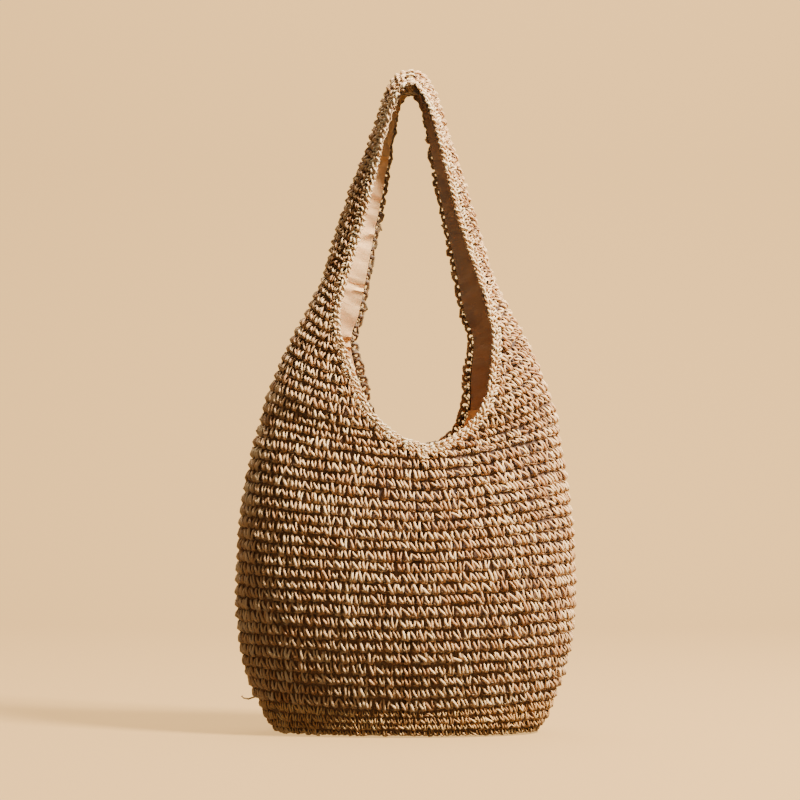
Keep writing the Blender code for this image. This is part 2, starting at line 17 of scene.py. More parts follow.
import bpy
import numpy as np
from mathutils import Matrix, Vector

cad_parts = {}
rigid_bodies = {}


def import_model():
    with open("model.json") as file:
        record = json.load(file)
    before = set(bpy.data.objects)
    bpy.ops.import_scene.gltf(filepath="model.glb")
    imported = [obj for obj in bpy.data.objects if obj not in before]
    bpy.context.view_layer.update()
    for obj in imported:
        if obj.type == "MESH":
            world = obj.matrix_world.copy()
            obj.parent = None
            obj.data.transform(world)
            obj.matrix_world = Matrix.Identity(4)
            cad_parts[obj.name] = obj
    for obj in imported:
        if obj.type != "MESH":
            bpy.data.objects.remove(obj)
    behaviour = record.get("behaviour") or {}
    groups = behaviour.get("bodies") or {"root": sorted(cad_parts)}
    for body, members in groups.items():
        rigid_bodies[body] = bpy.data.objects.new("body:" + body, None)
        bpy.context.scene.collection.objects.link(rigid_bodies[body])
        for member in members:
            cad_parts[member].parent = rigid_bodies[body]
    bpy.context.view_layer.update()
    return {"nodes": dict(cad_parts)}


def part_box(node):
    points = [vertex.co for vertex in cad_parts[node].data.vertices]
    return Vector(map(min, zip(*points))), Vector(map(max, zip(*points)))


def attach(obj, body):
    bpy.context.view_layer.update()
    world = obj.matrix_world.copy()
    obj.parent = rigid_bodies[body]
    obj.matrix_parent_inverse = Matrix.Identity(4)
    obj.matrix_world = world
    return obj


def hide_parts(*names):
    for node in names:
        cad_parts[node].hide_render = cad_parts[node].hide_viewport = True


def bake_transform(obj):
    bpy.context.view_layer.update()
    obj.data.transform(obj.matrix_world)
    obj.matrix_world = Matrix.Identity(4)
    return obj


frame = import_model()

log = logging.getLogger("hobo_bag")
Points = Sequence[tuple[float, float]]
Colour = tuple[float, float, float]
Point = tuple[float, float, float]
MM = 0.001

BODY_BOTTOM = 0.034
MOUTH_ROW = 0.300
SHOULDER_LOW = 0.350
SHOULDER_HIGH = 0.440
TOP = 0.660
FRONT, BACK = -1, 1


def unit(vectors: np.ndarray) -> np.ndarray:
    """The vectors at length one."""
    return vectors / np.maximum(np.linalg.norm(vectors, axis=-1, keepdims=True), 1e-12)


def run_length(points: np.ndarray) -> np.ndarray:
    """Distance walked along a line of points, from zero."""
    return np.concatenate(([0.0], np.cumsum(np.linalg.norm(np.diff(points, axis=0), axis=1))))


def read_line(where: np.ndarray, run: np.ndarray, values: np.ndarray) -> np.ndarray:
    """Values, one number or one vector a point, read at distances along a line."""
    if values.ndim == 1:
        return np.interp(where, run, values)
    return np.stack([np.interp(where, run, column) for column in values.T], axis=1)


def evenly(run: np.ndarray, step: float) -> np.ndarray:
    """Distances about one step apart along a line, half a step clear of its ends."""
    count = int(run[-1] / step)
    return (np.arange(count) + 0.5) * run[-1] / count


def waves(along: np.ndarray, wavelength: float, seed: int, count: int = 5) -> np.ndarray:
    """A smooth irregular wave about one high, as a sum of sines near one wavelength.

    Args:
        along: Distances to read it at, in metres.
        wavelength: Usual distance between its crests, in metres.
        seed: Picks the phases.
        count: Number of sines.

    Returns:
        The wave's value at each distance.
    """
    rng = np.random.default_rng(seed)
    total = np.zeros_like(along, dtype=float)
    for _ in range(count):
        stretch, phase = rng.uniform(0.6, 1.7), rng.uniform(0, 2 * math.pi)
        total += np.sin(2 * math.pi * along / (wavelength * stretch) + phase)
    return total / math.sqrt(2 * count)


class Profile:
    """A smooth curve through (height, size) points, with no overshoot between them."""

    def __init__(self, points: Points) -> None:
        """Works out the slope at each point."""
        self.at = np.array([point[0] for point in points])
        self.value = np.array([point[1] for point in points])
        self.step = np.diff(self.at)
        rise = np.diff(self.value) / self.step
        self.slope = np.concatenate(([rise[0]], np.zeros(len(points) - 2), [rise[-1]]))
        for i in range(1, len(points) - 1):
            if rise[i - 1] * rise[i] > 0:
                near = 2 * self.step[i] + self.step[i - 1]
                far = self.step[i] + 2 * self.step[i - 1]
                self.slope[i] = (near + far) / (near / rise[i - 1] + far / rise[i])

    def __call__(self, where: np.ndarray | float) -> np.ndarray:
        """The curve's value at these heights, held level past its ends."""
        where = np.clip(where, self.at[0], self.at[-1])
        i = np.clip(np.searchsorted(self.at, where, side="right") - 1, 0, len(self.step) - 1)
        step = self.step[i]
        t = (where - self.at[i]) / step
        ends = self.value[i] * (1 + 2 * t) * (1 - t) ** 2 + self.value[i + 1] * t * t * (3 - 2 * t)
        bends = self.slope[i] * t * (1 - t) ** 2 + self.slope[i + 1] * t * t * (t - 1)
        return ends + step * bends


class BagSurface:
    """The bag's outer surface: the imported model's, eased inwards by up to 4 mm beside the mouth.

    Below the mouth a row is one oval; above it each side curls round its own edge. The opening says
    how far a row has gone from the first to the second, so that no ledge forms between them.
    """

    half_width = Profile((
        (0.034, 0.148), (0.060, 0.158), (0.095, 0.1655), (0.140, 0.1685), (0.190, 0.167),
        (0.240, 0.1615), (0.285, 0.153), (0.320, 0.1455), (0.350, 0.1345), (0.385, 0.1195),
        (0.420, 0.1005), (0.450, 0.0865), (0.490, 0.0745), (0.540, 0.0585), (0.600, 0.0375),
        (0.633, 0.0270), (0.650, 0.0185), (0.657, 0.0105), (0.660, 0.0),
    ))
    half_depth = Profile((
        (0.034, 0.057), (0.065, 0.065), (0.105, 0.072), (0.150, 0.075), (0.205, 0.0735), (0.255, 0.068),
        (0.300, 0.061), (0.350, 0.050), (0.400, 0.037), (0.440, 0.027), (0.500, 0.020),
        (0.560, 0.0205), (0.610, 0.0235), (0.645, 0.026), (0.660, 0.026),
    ))
    edge_drop = Profile((
        (0.034, 0.008), (0.060, 0.006), (0.130, 0.006), (0.190, 0.011), (0.245, 0.019), (0.300, 0.0255),
        (0.330, 0.0300), (0.360, 0.0280), (0.400, 0.0220), (0.440, 0.0150), (0.500, 0.0115),
        (0.585, 0.0090), (0.630, 0.0115), (0.660, 0.0170),
    ))
    edge_half_width = {
        FRONT: Profile((
            (0.2745, 0.0), (0.2790, 0.018), (0.2850, 0.031), (0.2930, 0.042), (0.3050, 0.0545),
            (0.3200, 0.0635), (0.3400, 0.0705), (0.3670, 0.0765), (0.3950, 0.0805), (0.4180, 0.0775),
            (0.4450, 0.0698), (0.5060, 0.0510), (0.5550, 0.0385), (0.6060, 0.0255), (0.6280, 0.0170),
            (0.6380, 0.0095), (0.6418, 0.0052), (0.6430, 0.0),
        )),
        BACK: Profile((
            (0.2745, 0.0), (0.2800, 0.022), (0.2880, 0.034), (0.3000, 0.0450), (0.3200, 0.0530),
            (0.3550, 0.0570), (0.3900, 0.0625), (0.4200, 0.0535), (0.4480, 0.0475), (0.4910, 0.0390),
            (0.5420, 0.0290), (0.5750, 0.0235), (0.6090, 0.0190), (0.6280, 0.0145), (0.6380, 0.0090),
            (0.6418, 0.0052), (0.6430, 0.0),
        )),
    }
    side_lean = Profile((
        (0.034, -0.001), (0.200, 0.0), (0.285, 0.001), (0.310, 0.003), (0.500, 0.002), (0.600, 0.0045),
    ))
    edge_lean = {
        FRONT: Profile((
            (0.034, 0.0), (0.270, 0.020), (0.320, 0.0190),
            (0.370, 0.0138), (0.418, 0.0075), (0.600, 0.0045),
        )),
        BACK: Profile((
            (0.034, 0.0), (0.270, 0.012), (0.320, 0.0108),
            (0.390, 0.0065), (0.450, 0.0060), (0.600, 0.0045),
        )),
    }
    row_curl = Profile(((0.270, 90.0), (0.300, 90.0), (0.350, 82.0), (0.400, 68.0), (0.440, 60.0)))
    edging_width = Profile((
        (0.285, 0.0100), (0.340, 0.0080), (0.400, 0.0060), (0.450, 0.0045), (0.636, 0.0038),
    ))
    sag_power = 1.6
    opening = Profile(((0.034, 0.0), (0.300, 0.0), (0.318, 0.32), (0.346, 1.0), (0.660, 1.0)))

    def place(self, side: np.ndarray, height: np.ndarray | float, turn: np.ndarray) -> np.ndarray:
        """The point on this side's course at this turn, -1 at the front edge and 1 at the back edge."""
        side, height, turn = np.broadcast_arrays(side, height, turn)
        edge_height = height - self.edge_drop(height)
        back = turn > 0
        lean, half = (
            np.where(back, curves[BACK](edge_height), curves[FRONT](edge_height))
            for curves in (self.edge_lean, self.edge_half_width)
        )
        edge_x = lean + side * half
        side_x = self.side_lean(height) + side * self.half_width(height)
        curl = np.radians(self.row_curl(height))
        flat = np.cos(curl)
        outward = np.clip((np.cos(np.abs(turn) * curl) - flat) / (1 - flat), 0.0, 1.0)
        opened = self.opening(height)
        reach = side_x - lean - side * half * opened
        share = (side_x - edge_x) / np.where(np.abs(reach) > 1e-6, reach, 1.0)
        share = np.where(opened < 1, np.clip(1 - (1 - outward) * share, 0.0, 1.0), outward)
        curled = np.arccos(np.clip(share * (1 - flat) + flat, -1.0, 1.0))
        y = np.sign(turn) * self.half_depth(height) * np.sin(curled) / np.sin(curl)
        z = edge_height + (height - edge_height) * outward ** self.sag_power
        return np.stack((edge_x + (side_x - edge_x) * outward, y, z), axis=-1)


BAG = BagSurface()


class Ground:
    """A surface that courses of stitches run on. A course goes rightwards, seen from outside."""

    rounds = 4.0
    closed = True

    def point(self, q: np.ndarray, height: np.ndarray | float) -> np.ndarray:
        """The point at round q of the course at this height."""
        raise NotImplementedError

    def near(self, q: np.ndarray) -> np.ndarray:
        """A round kept within the course."""
        return np.mod(q, self.rounds) if self.closed else np.clip(q, 0.0, self.rounds)

    def frame(self, q: np.ndarray, height: np.ndarray | float) -> tuple[np.ndarray, ...]:
        """The surface's own directions.

        Args:
            q: Rounds.
            height: Course heights.

        Returns:
            Points, and the unit directions along the course, up the surface and outwards, then how
            many metres of surface one metre of course height covers.
        """
        q, height = np.broadcast_arrays(q, height)
        dq, dh = 2e-3, 2e-4
        at = self.point(q, height)
        along = unit(self.point(self.near(q + dq), height) - self.point(self.near(q - dq), height))
        rise = self.point(q, height + dh) - self.point(q, height - dh)
        out = unit(np.cross(along, rise))
        up = np.cross(out, along)
        return at, along, up, out, np.sum(rise * up, axis=-1) / (2 * dh)


class RoundBag(Ground):
    """Courses that run right round the bag, below the mouth."""

    def point(self, q: np.ndarray, height: np.ndarray | float) -> np.ndarray:
        """The point at round q of the course at this height."""
        return BAG.place(np.where(q < 2, 1, -1), height, np.where(q < 2, q - 1, 3 - q))


class HalfBag(Ground):
    """Courses of one side of the bag, from edge to edge."""

    rounds = 2.0
    closed = False

    def __init__(self, side: int) -> None:
        """Keeps which side it is, -1 left or 1 right."""
        self.side = side

    def point(self, q: np.ndarray, height: np.ndarray | float) -> np.ndarray:
        """The point at round q of this side's course."""
        return BAG.place(self.side, height, self.side * (q - 1))

    def frame(self, q: np.ndarray, height: np.ndarray | float) -> tuple[np.ndarray, ...]:
        """As for any ground, but shared with the round courses up to the mouth."""
        q, height = np.broadcast_arrays(q, height)
        own = super().frame(q, height)
        whole = RoundBag().frame(np.mod(q if self.side > 0 else q + 2, 4.0), height)
        low = height <= MOUTH_ROW
        return tuple(
            np.where(low[..., None] if mine.ndim > low.ndim else low, shared, mine)
            for mine, shared in zip(own, whole)
        )


class BaseGround(Ground):
    """The base: heights run out from the middle of the underside and up its wall."""

    width = Profile(((0.0, 0.0775), (0.046, 0.1235), (0.0505, 0.1275), (0.062, 0.1385), (0.085, 0.148)))
    depth = Profile(((0.0, 0.0), (0.046, 0.046), (0.0505, 0.0500), (0.062, 0.0545), (0.085, 0.057)))
    rise = Profile(((0.0, 0.0), (0.046, 0.0), (0.0505, 0.0010), (0.062, 0.012), (0.085, 0.034)))
    wall_from = 0.062
    rim = 0.085
    rim_sag = 0.008

    def point(self, q: np.ndarray, height: np.ndarray | float) -> np.ndarray:
        """The point at round q of the ring at this distance along the base's section."""
        q, height = np.broadcast_arrays(q, height)
        angle = q * math.pi / 2
        sunk = np.clip((height - self.wall_from) / (self.rim - self.wall_from), 0, 1) * self.rim_sag
        z = self.rise(height) - sunk * (1 - np.abs(np.sin(angle)) ** BAG.sag_power)
        x, y = self.width(height) * np.sin(angle), -self.depth(height) * np.cos(angle)
        return np.stack((x, y, z), axis=-1)


def full_turn(sides: int) -> np.ndarray:
    """Rounds once round a closed ground, the last one just short of the first."""
    return np.append(np.linspace(0, 4, sides + 1)[:-1], 4 - 1e-9)


class EdgeLine:
    """One edge of the bag: down one side of the strap, round the mouth and up the other side."""

    samples = 900
    smoothing = 31

    def __init__(self, face: int) -> None:
        """Reads the edge's line and its directions along, across towards the arm hole, and outwards."""
        s = np.linspace(0.0, 1.0, self.samples)
        climb = MOUTH_ROW + (TOP - MOUTH_ROW) * s ** 3 / (s ** 3 + (1 - s) ** 3)
        climb[0] += 1e-6
        first = -1 if face == FRONT else 1
        self.height = np.concatenate((climb[::-1], climb[1:]))
        self.side = np.concatenate((np.full(len(s), first), np.full(len(s) - 1, -first)))
        self.at = BAG.place(self.side, self.height, np.full(len(self.side), float(face)))
        outs = []
        for side in (first, -first):
            q = 1.0 + side * face
            outs.append(HalfBag(side).frame(np.full(len(s), q), climb)[3])
        out = np.concatenate((outs[0][::-1], outs[1][1:]))
        self.run = run_length(self.at)
        even = np.linspace(0, self.run[-1], 3 * self.samples)
        self.out = np.stack([self._smooth(even, out[:, k]) for k in range(3)], axis=1)
        self.along = unit(np.gradient(self.at, self.run, axis=0))
        self.across = unit(np.cross(self.out, self.along))
        self.out = unit(np.cross(self.along, self.across))
        self.width = BAG.edging_width(self.at[:, 2])

    def _smooth(self, even: np.ndarray, values: np.ndarray) -> np.ndarray:
        """Values averaged over a short length of the edge."""
        read = np.interp(even, self.run, values)
        pad = self.smoothing // 2
        window = np.full(self.smoothing, 1 / self.smoothing)
        read = np.convolve(np.pad(read, pad, mode="edge"), window, "valid")
        return np.interp(self.run, even, read)


@dataclass
class Placing:
    """Where stitches go: for each a place, three directions, a size and a tone."""

    at: np.ndarray
    along: np.ndarray
    up: np.ndarray
    out: np.ndarray
    size: np.ndarray
    tone: np.ndarray

    @staticmethod
    def thread(at: np.ndarray, along: np.ndarray, out: np.ndarray) -> Placing:
        """Sewing stitches, all of one size and tone."""
        count = len(at)
        return Placing(at, along, np.cross(out, along), out, np.ones((count, 3)), np.full(count, 0.5))

    def picked(self, keep: np.ndarray) -> Placing:
        """The stitches that a mask keeps."""
        return Placing(*(values[keep] for values in vars(self).values()))

    @staticmethod
    def joined(parts: Iterable[Placing]) -> Placing:
        """Several lots of stitches as one."""
        return Placing(*(np.concatenate(column) for column in zip(*(vars(part).values() for part in parts))))

    def swayed(self, angle: np.ndarray) -> Placing:
        """The stitches turned in the surface by an angle each, in radians."""
        c, s = np.cos(angle)[:, None], np.sin(angle)[:, None]
        along, up = self.along * c + self.up * s, self.up * c - self.along * s
        return Placing(self.at, along, up, self.out, self.size, self.tone)

    def euler(self) -> np.ndarray:
        """The directions as XYZ angles."""
        y = np.arcsin(np.clip(-self.along[:, 2], -1, 1))
        x = np.arctan2(self.up[:, 2], self.out[:, 2])
        z = np.arctan2(self.along[:, 1], self.along[:, 0])
        return np.stack((x, y, z), axis=1)


@dataclass(frozen=True)
class Gauge:
    """How a lot of stitches is worked: pitches in metres, and how uneven the hand is."""

    pitch: float = 8.5 * MM
    course: float = 11.7 * MM
    sink: float = 1.7 * MM
    sway: float = 0.16
    uneven: float = 0.12
    tone: float = 0.5
    thick: float = 1.0
    tallest: float = 1.15
    jitter: float = 0.12
    wander: float = 0.06
    wander_length: float = 0.09
    depth_spread: float = 0.25 * MM
    tone_spread: float = 0.2
    tone_drift: float = 0.12
    tone_length: float = 0.12
    hand_limits: tuple[float, float] = (0.72, 1.35)


def lay_course(
    ground: Ground, height: float, span: float, gauge: Gauge, rng: np.random.Generator,
    kept_clear: tuple[float, float] = (0.0, 0.0),
) -> Placing:
    """Stitches along one course.

    Args:
        ground: The surface it runs on.
        height: The course's middle height.
        span: The course's share of height.
        gauge: How it is worked.
        rng: Source of the hand's unevenness.
        kept_clear: Lengths left free at the course's start and end, in metres.

    Returns:
        The stitches' places.
    """
    dense = np.linspace(0.0, ground.rounds, 400)
    rounds = dense if not ground.closed else np.minimum(dense, ground.rounds - 1e-9)
    run = run_length(ground.point(rounds, height))
    worked = max(run[-1] - sum(kept_clear), 2 * gauge.pitch)
    count = max(int(round(worked / gauge.pitch)), 2)
    shift = rng.uniform(0.0, 1.0) if ground.closed else 0.5
    steps = np.arange(count) + shift + rng.uniform(-gauge.jitter, gauge.jitter, count)
    where = np.clip(kept_clear[0] + steps * worked / count, 0.0, run[-1])
    q = np.interp(where, run, rounds)
    wobble = waves(where, gauge.wander_length, int(height * 1e5)) * gauge.wander * span
    at, along, up, out, stretch = ground.frame(q, height + wobble)
    wide = worked / count / Gauge.pitch
    tall = np.minimum(stretch * span / Gauge.course, gauge.tallest)
    hand = rng.normal(1.0, gauge.uneven, (count, 3)).clip(*gauge.hand_limits)
    size = np.stack((np.full(count, wide), tall, np.full(count, gauge.thick)), axis=1) * hand
    depth = gauge.sink + rng.normal(0.0, gauge.depth_spread, count)
    drift = gauge.tone_drift * waves(where, gauge.tone_length, int(height * 7e4))
    tone = rng.normal(gauge.tone, gauge.tone_spread, count) + drift
    made = Placing(at - out * depth[:, None], along, up, out, size, np.clip(tone, 0, 1))
    return made.swayed(rng.normal(0.0, gauge.sway, count))


def courses(
    low: float, high: float, pitch: float, ground: Ground, at_round: float,
) -> list[tuple[float, float]]:
    """Evenly spaced courses between two heights.

    Args:
        low: Lowest height.
        high: Highest height.
        pitch: Wanted distance between courses, in metres of surface.
        ground: The surface.
        at_round: The round where the distance holds.

    Returns:
        Each course's middle height and its share of height.
    """
    heights = np.linspace(low, high, 300)
    run = run_length(ground.point(np.full(len(heights), at_round), heights))
    count = max(int(round(run[-1] / pitch)), 1)
    bounds = np.interp(np.linspace(0, run[-1], count + 1), run, heights)
    return [((a + b) / 2, b - a) for a, b in zip(bounds[:-1], bounds[1:])]


def clear_of_edging(side: int, height: float) -> tuple[float, float]:
    """The lengths at a half course's start and end that the edgings cover."""
    edging = float(BAG.edging_width(height - BAG.edge_drop(height)))
    front = max(Edging.covered_front - edging, 0.0)
    return (front, Edging.covered_back) if side > 0 else (Edging.covered_back, front)


def operator(operation: str, swapped: bool = False) -> Callable[[Socket, Value], Socket]:
    """A Python operator that adds one Math node.

    Args:
        operation: The node's operation.
        swapped: Whether the value on the right of the sign is the socket itself.

    Returns:
        The operator's method.
    """
    def apply(self: Socket, other: Value) -> Socket:
        left, right = (other, self) if swapped else (self, other)
        return self.nodes.add("ShaderNodeMath", {"operation": operation}, {0: left, 1: right})

    return apply


class Socket:
    """A shader value that takes part in Python expressions."""

    __add__ = operator("ADD")
    __radd__ = operator("ADD", swapped=True)
    __mul__ = operator("MULTIPLY")
    __rmul__ = operator("MULTIPLY", swapped=True)
    __rsub__ = operator("SUBTRACT", swapped=True)

    def __init__(self, nodes: Nodes, link: bpy.types.NodeSocket) -> None:
        """Wraps one output of a node."""
        self.nodes, self.link = nodes, link


Value = Socket | float


class Nodes:
    """Builds the nodes of one tree."""

    def __init__(self, tree: bpy.types.NodeTree) -> None:
        """Starts on an empty tree."""
        self.tree = tree

    def node(self, kind: str, settings: dict, sockets: dict) -> bpy.types.Node:
        """Any node.

        Args:
            kind: The node's type.
            settings: Its properties, or "stops" for a ramp, set first.
            sockets: Values or links of its inputs, by name or number.

        Returns:
            The node.
        """
        made = self.tree.nodes.new(kind)
        for name, value in settings.items():
            if name == "stops":
                self._set_stops(made.color_ramp, value)
            else:
                setattr(made, name, value)
        for name, value in sockets.items():
            if isinstance(value, Socket):
                self.tree.links.new(value.link, made.inputs[name])
            else:
                made.inputs[name].default_value = value
        return made

    def _set_stops(self, ramp: bpy.types.ColorRamp, stops: Sequence[tuple[float, float]]) -> None:
        """Grey stops of a ramp, as (position, value)."""
        while len(ramp.elements) < len(stops):
            ramp.elements.new(0.5)
        for element, (position, value) in zip(ramp.elements, stops):
            element.position = position
            element.color = (value, value, value, 1.0)

    def add(self, kind: str, settings: dict, sockets: dict, output: int | str = 0) -> Socket:
        """Any node, as the value of one of its outputs."""
        return Socket(self, self.node(kind, settings, sockets).outputs[output])

    def mix(self, factor: Value, one: Socket | Colour, other: Socket | Colour) -> Socket:
        """One colour turning into another."""
        made = self.tree.nodes.new("ShaderNodeMix")
        made.data_type = "RGBA"
        for index, value in ((0, factor), (6, one), (7, other)):
            if isinstance(value, Socket):
                self.tree.links.new(value.link, made.inputs[index])
            elif index:
                made.inputs[index].default_value = (*value, 1.0)
            else:
                made.inputs[index].default_value = value
        return Socket(self, made.outputs[2])

    def vector(self, operation: str, one: Socket, other: Socket | Colour) -> Socket:
        """One Vector Math node on two vectors."""
        return self.add("ShaderNodeVectorMath", {"operation": operation}, {0: one, 1: other})

    def attribute(self, name: str, output: str = "Fac") -> Socket:
        """A named attribute of the piece's own mesh."""
        return self.add("ShaderNodeAttribute", {"attribute_name": name}, {}, output)

    def noise(
        self, vector: Socket, scale: float | Colour, detail: float = 2.0, rough: float = 0.5,
    ) -> Socket:
        """Noise between 0 and 1, with one scale or one for each axis."""
        if isinstance(scale, tuple):
            vector, scale = self.vector("MULTIPLY", vector, scale), 1.0
        return self.add("ShaderNodeTexNoise", {}, {
            "Vector": vector, "Scale": scale, "Detail": detail, "Roughness": rough,
        })

    def bands(self, vector: Socket, direction: str, scale: float, distortion: float) -> Socket:
        """Waves in bands that follow one another along one axis."""
        settings = {"wave_type": "BANDS", "bands_direction": direction}
        return self.add("ShaderNodeTexWave", settings, {
            "Vector": vector, "Scale": scale, "Distortion": distortion, "Detail": 1.0,
        }, "Fac")

    def cloth_map(self) -> Socket:
        """The piece's own UV map."""
        return self.add("ShaderNodeUVMap", {"uv_map": "cloth"}, {})

    def own_place(self) -> Socket:
        """The place on the piece, in the piece's own axes."""
        return self.add("ShaderNodeTexCoord", {}, {}, "Object")

    def ramp(self, factor: Socket, *stops: tuple[float, float]) -> Socket:
        """A value through grey stops."""
        return self.add("ShaderNodeValToRGB", {"stops": stops}, {"Fac": factor})

    def bump(self, height: Socket, strength: float, distance: float) -> Socket:
        """Relief from a height."""
        return self.add("ShaderNodeBump", {}, {
            "Height": height, "Strength": strength, "Distance": distance,
        })


def start_material(name: str) -> tuple[bpy.types.Material, Nodes, bpy.types.Node]:
    """An empty material with its principled shader on the output."""
    made = bpy.data.materials.new(name)
    made.use_nodes = True
    made.node_tree.nodes.clear()
    nodes = Nodes(made.node_tree)
    shader = nodes.node("ShaderNodeBsdfPrincipled", {}, {})
    nodes.node("ShaderNodeOutputMaterial", {}, {"Surface": Socket(nodes, shader.outputs[0])})
    return made, nodes, shader


def plug(nodes: Nodes, shader: bpy.types.Node, values: dict[str, Socket | float | Colour]) -> None:
    """Values or links into the principled shader's sockets."""
    for name, value in values.items():
        if isinstance(value, Socket):
            nodes.tree.links.new(value.link, shader.inputs[name])
        elif isinstance(value, tuple):
            shader.inputs[name].default_value = (*value, 1.0)
        else:
            shader.inputs[name].default_value = value


class Finish(Protocol):
    """What every finish has: a name, and a material made from its values."""

    name: str

    def material(self) -> bpy.types.Material:
        """The finish as a material."""


@dataclass(frozen=True)
class StrawFinish:
    """Twisted paper straw: streaks and creases run along each strand, and deep places get painted shade."""

    name: str
    # The colour of the painted shade in the deep parts of each stitch.
    deep: Colour = (0.065, 0.022, 0.006)
    dull: Colour = (0.390, 0.165, 0.055)
    body: Colour = (0.720, 0.370, 0.130)
    light: Colour = (1.000, 0.680, 0.330)
    roughness: float = 0.52
    relief: float = 0.5 * MM

    def material(self) -> bpy.types.Material:
        """The finish as a material."""
        made, nodes, shader = start_material(self.name)
        strand = nodes.attribute("strand", "Vector")
        tone = nodes.attribute("tone")
        sunk = nodes.attribute("sunk")
        shift = nodes.add("ShaderNodeCombineXYZ", {}, {"X": tone * 37.0, "Y": tone * 91.0, "Z": tone * 53.0})
        lengthwise = nodes.vector("ADD", nodes.vector("MULTIPLY", strand, (1.1, 1.5, 1.5)), shift)
        crease = nodes.noise(lengthwise, 1.7, 3.0, 0.6)
        fibre = nodes.noise(nodes.vector("MULTIPLY", lengthwise, (1.0, 4.0, 4.0)), 2.1, 2.0, 0.6)
        bright = nodes.ramp(crease * 0.6 + fibre * 0.25 + tone * 0.30, (0.38, 0.0), (0.78, 1.0))
        colour = nodes.mix(bright, self.body, self.light)
        worn = nodes.ramp(crease * 0.7 + (1 - tone) * 0.5, (0.48, 0.0), (0.82, 1.0))
        colour = nodes.mix(worn * 0.75, colour, self.dull)
        # Painted shade: the deeper a point sits in its stitch, by its sunk value, the nearer it turns to the
        # shade colour.
        colour = nodes.mix(nodes.ramp(sunk, (0.10, 0.0), (0.95, 1.0)), colour, self.deep)
        relief = nodes.bump(crease * 0.7 + fibre * 0.3, 0.85, self.relief)
        plug(nodes, shader, {
            "Base Color": colour, "Roughness": fibre * 0.22 + (self.roughness - 0.11), "Normal": relief,
            "Specular IOR Level": 0.42, "Sheen Weight": 0.06,
        })
        return made


@dataclass(frozen=True)
class ShadeSheetFinish:
    """A dark sheet of painted shade under the crochet, showing between the stitches, with knots and crossing
    strands in low relief.
    """

    name: str = "crochet_ground"
    deep: Colour = (0.030, 0.012, 0.005)
    body: Colour = (0.150, 0.064, 0.024)
    roughness: float = 0.72

    def material(self) -> bpy.types.Material:
        """The finish as a material."""
        made, nodes, shader = start_material(self.name)
        place = nodes.cloth_map()
        scaled = nodes.vector("MULTIPLY", place, (2 / Gauge.pitch, 1 / Gauge.course, 1.0))
        knots = nodes.add("ShaderNodeTexVoronoi", {}, {
            "Vector": scaled, "Scale": 1.0, "Randomness": 0.55,
        })
        mottle = nodes.noise(place, (700.0, 160.0, 1.0), 3.0, 0.6)
        shade = nodes.ramp(knots + mottle * 0.4, (0.25, 1.0), (0.95, 0.0))
        plug(nodes, shader, {
            "Base Color": nodes.mix(shade, self.deep, self.body), "Roughness": self.roughness,
            "Normal": nodes.bump(shade + mottle * 0.5, 0.9, 0.8 * MM),
        })
        return made


@dataclass(frozen=True)
class ClothFinish:
    """Plain-woven cloth with a thread pitch, soft mottling and a slight sheen."""

    name: str
    colour: Colour = (0.990, 0.640, 0.290)
    shaded: Colour = (0.820, 0.480, 0.205)
    pitch: float = 0.55 * MM
    roughness: float = 0.72

    def material(self) -> bpy.types.Material:
        """The finish as a material."""
        made, nodes, shader = start_material(self.name)
        place = nodes.cloth_map()
        scale = 0.5 / (self.pitch * math.pi)
        warp, weft = (nodes.bands(place, direction, scale, 0.35) for direction in "XY")
        slub = nodes.noise(place, (60.0, 900.0, 1.0))
        mottle = nodes.noise(place, (26.0, 26.0, 1.0), 4.0, 0.55)
        crush = nodes.noise(place, (95.0, 150.0, 1.0), 3.0)
        threads = warp * weft
        shade = nodes.ramp(mottle * 0.55 + slub * 0.25 + (1 - threads) * 0.25, (0.36, 0.0), (0.78, 1.0))
        relief = nodes.bump(threads * 0.10 + crush * 0.55 + slub * 0.05, 0.8, 1.1 * MM)
        plug(nodes, shader, {
            "Base Color": nodes.mix(shade, self.colour, self.shaded),
            "Roughness": mottle * 0.18 + (self.roughness - 0.09), "Normal": relief,
            "Sheen Weight": 0.06, "Sheen Roughness": 0.4, "Specular IOR Level": 0.3,
        })
        return made


@dataclass(frozen=True)
class MetalFinish:
    """Light brass, brushed along one axis, duller and browner where hands don't polish it."""

    name: str
    bright: Colour = (0.800, 0.620, 0.330)
    tarnish: Colour = (0.420, 0.290, 0.130)
    grain: Colour = (160.0, 2400.0, 2400.0)

    def material(self) -> bpy.types.Material:
        """The finish as a material."""
        made, nodes, shader = start_material(self.name)
        place = nodes.own_place()
        brushed = nodes.noise(place, self.grain)
        patches = nodes.noise(place, 220.0, 3.0, 0.6)
        dull = nodes.ramp(patches, (0.45, 0.0), (0.72, 1.0))
        plug(nodes, shader, {
            "Base Color": nodes.mix(dull * 0.6, self.bright, self.tarnish), "Metallic": 1.0,
            "Roughness": brushed * 0.16 + dull * 0.18 + 0.18, "Normal": nodes.bump(brushed, 0.25, 0.05 * MM),
        })
        return made


@dataclass(frozen=True)
class TapeFinish:
    """Zip tape: ribs across a dense weave."""

    name: str = "zip_tape_weave"
    colour: Colour = (0.640, 0.430, 0.290)
    shaded: Colour = (0.430, 0.270, 0.170)

    def material(self) -> bpy.types.Material:
        """The finish as a material."""
        made, nodes, shader = start_material(self.name)
        place = nodes.own_place()
        ribs = nodes.bands(place, "X", 420.0, 0.6)
        mottle = nodes.noise(place, 900.0)
        shade = nodes.ramp(ribs * 0.7 + mottle * 0.3, (0.3, 1.0), (0.7, 0.0))
        plug(nodes, shader, {
            "Base Color": nodes.mix(shade, self.colour, self.shaded),
            "Roughness": 0.85, "Normal": nodes.bump(ribs + mottle * 0.4, 0.7, 0.25 * MM),
        })
        return made


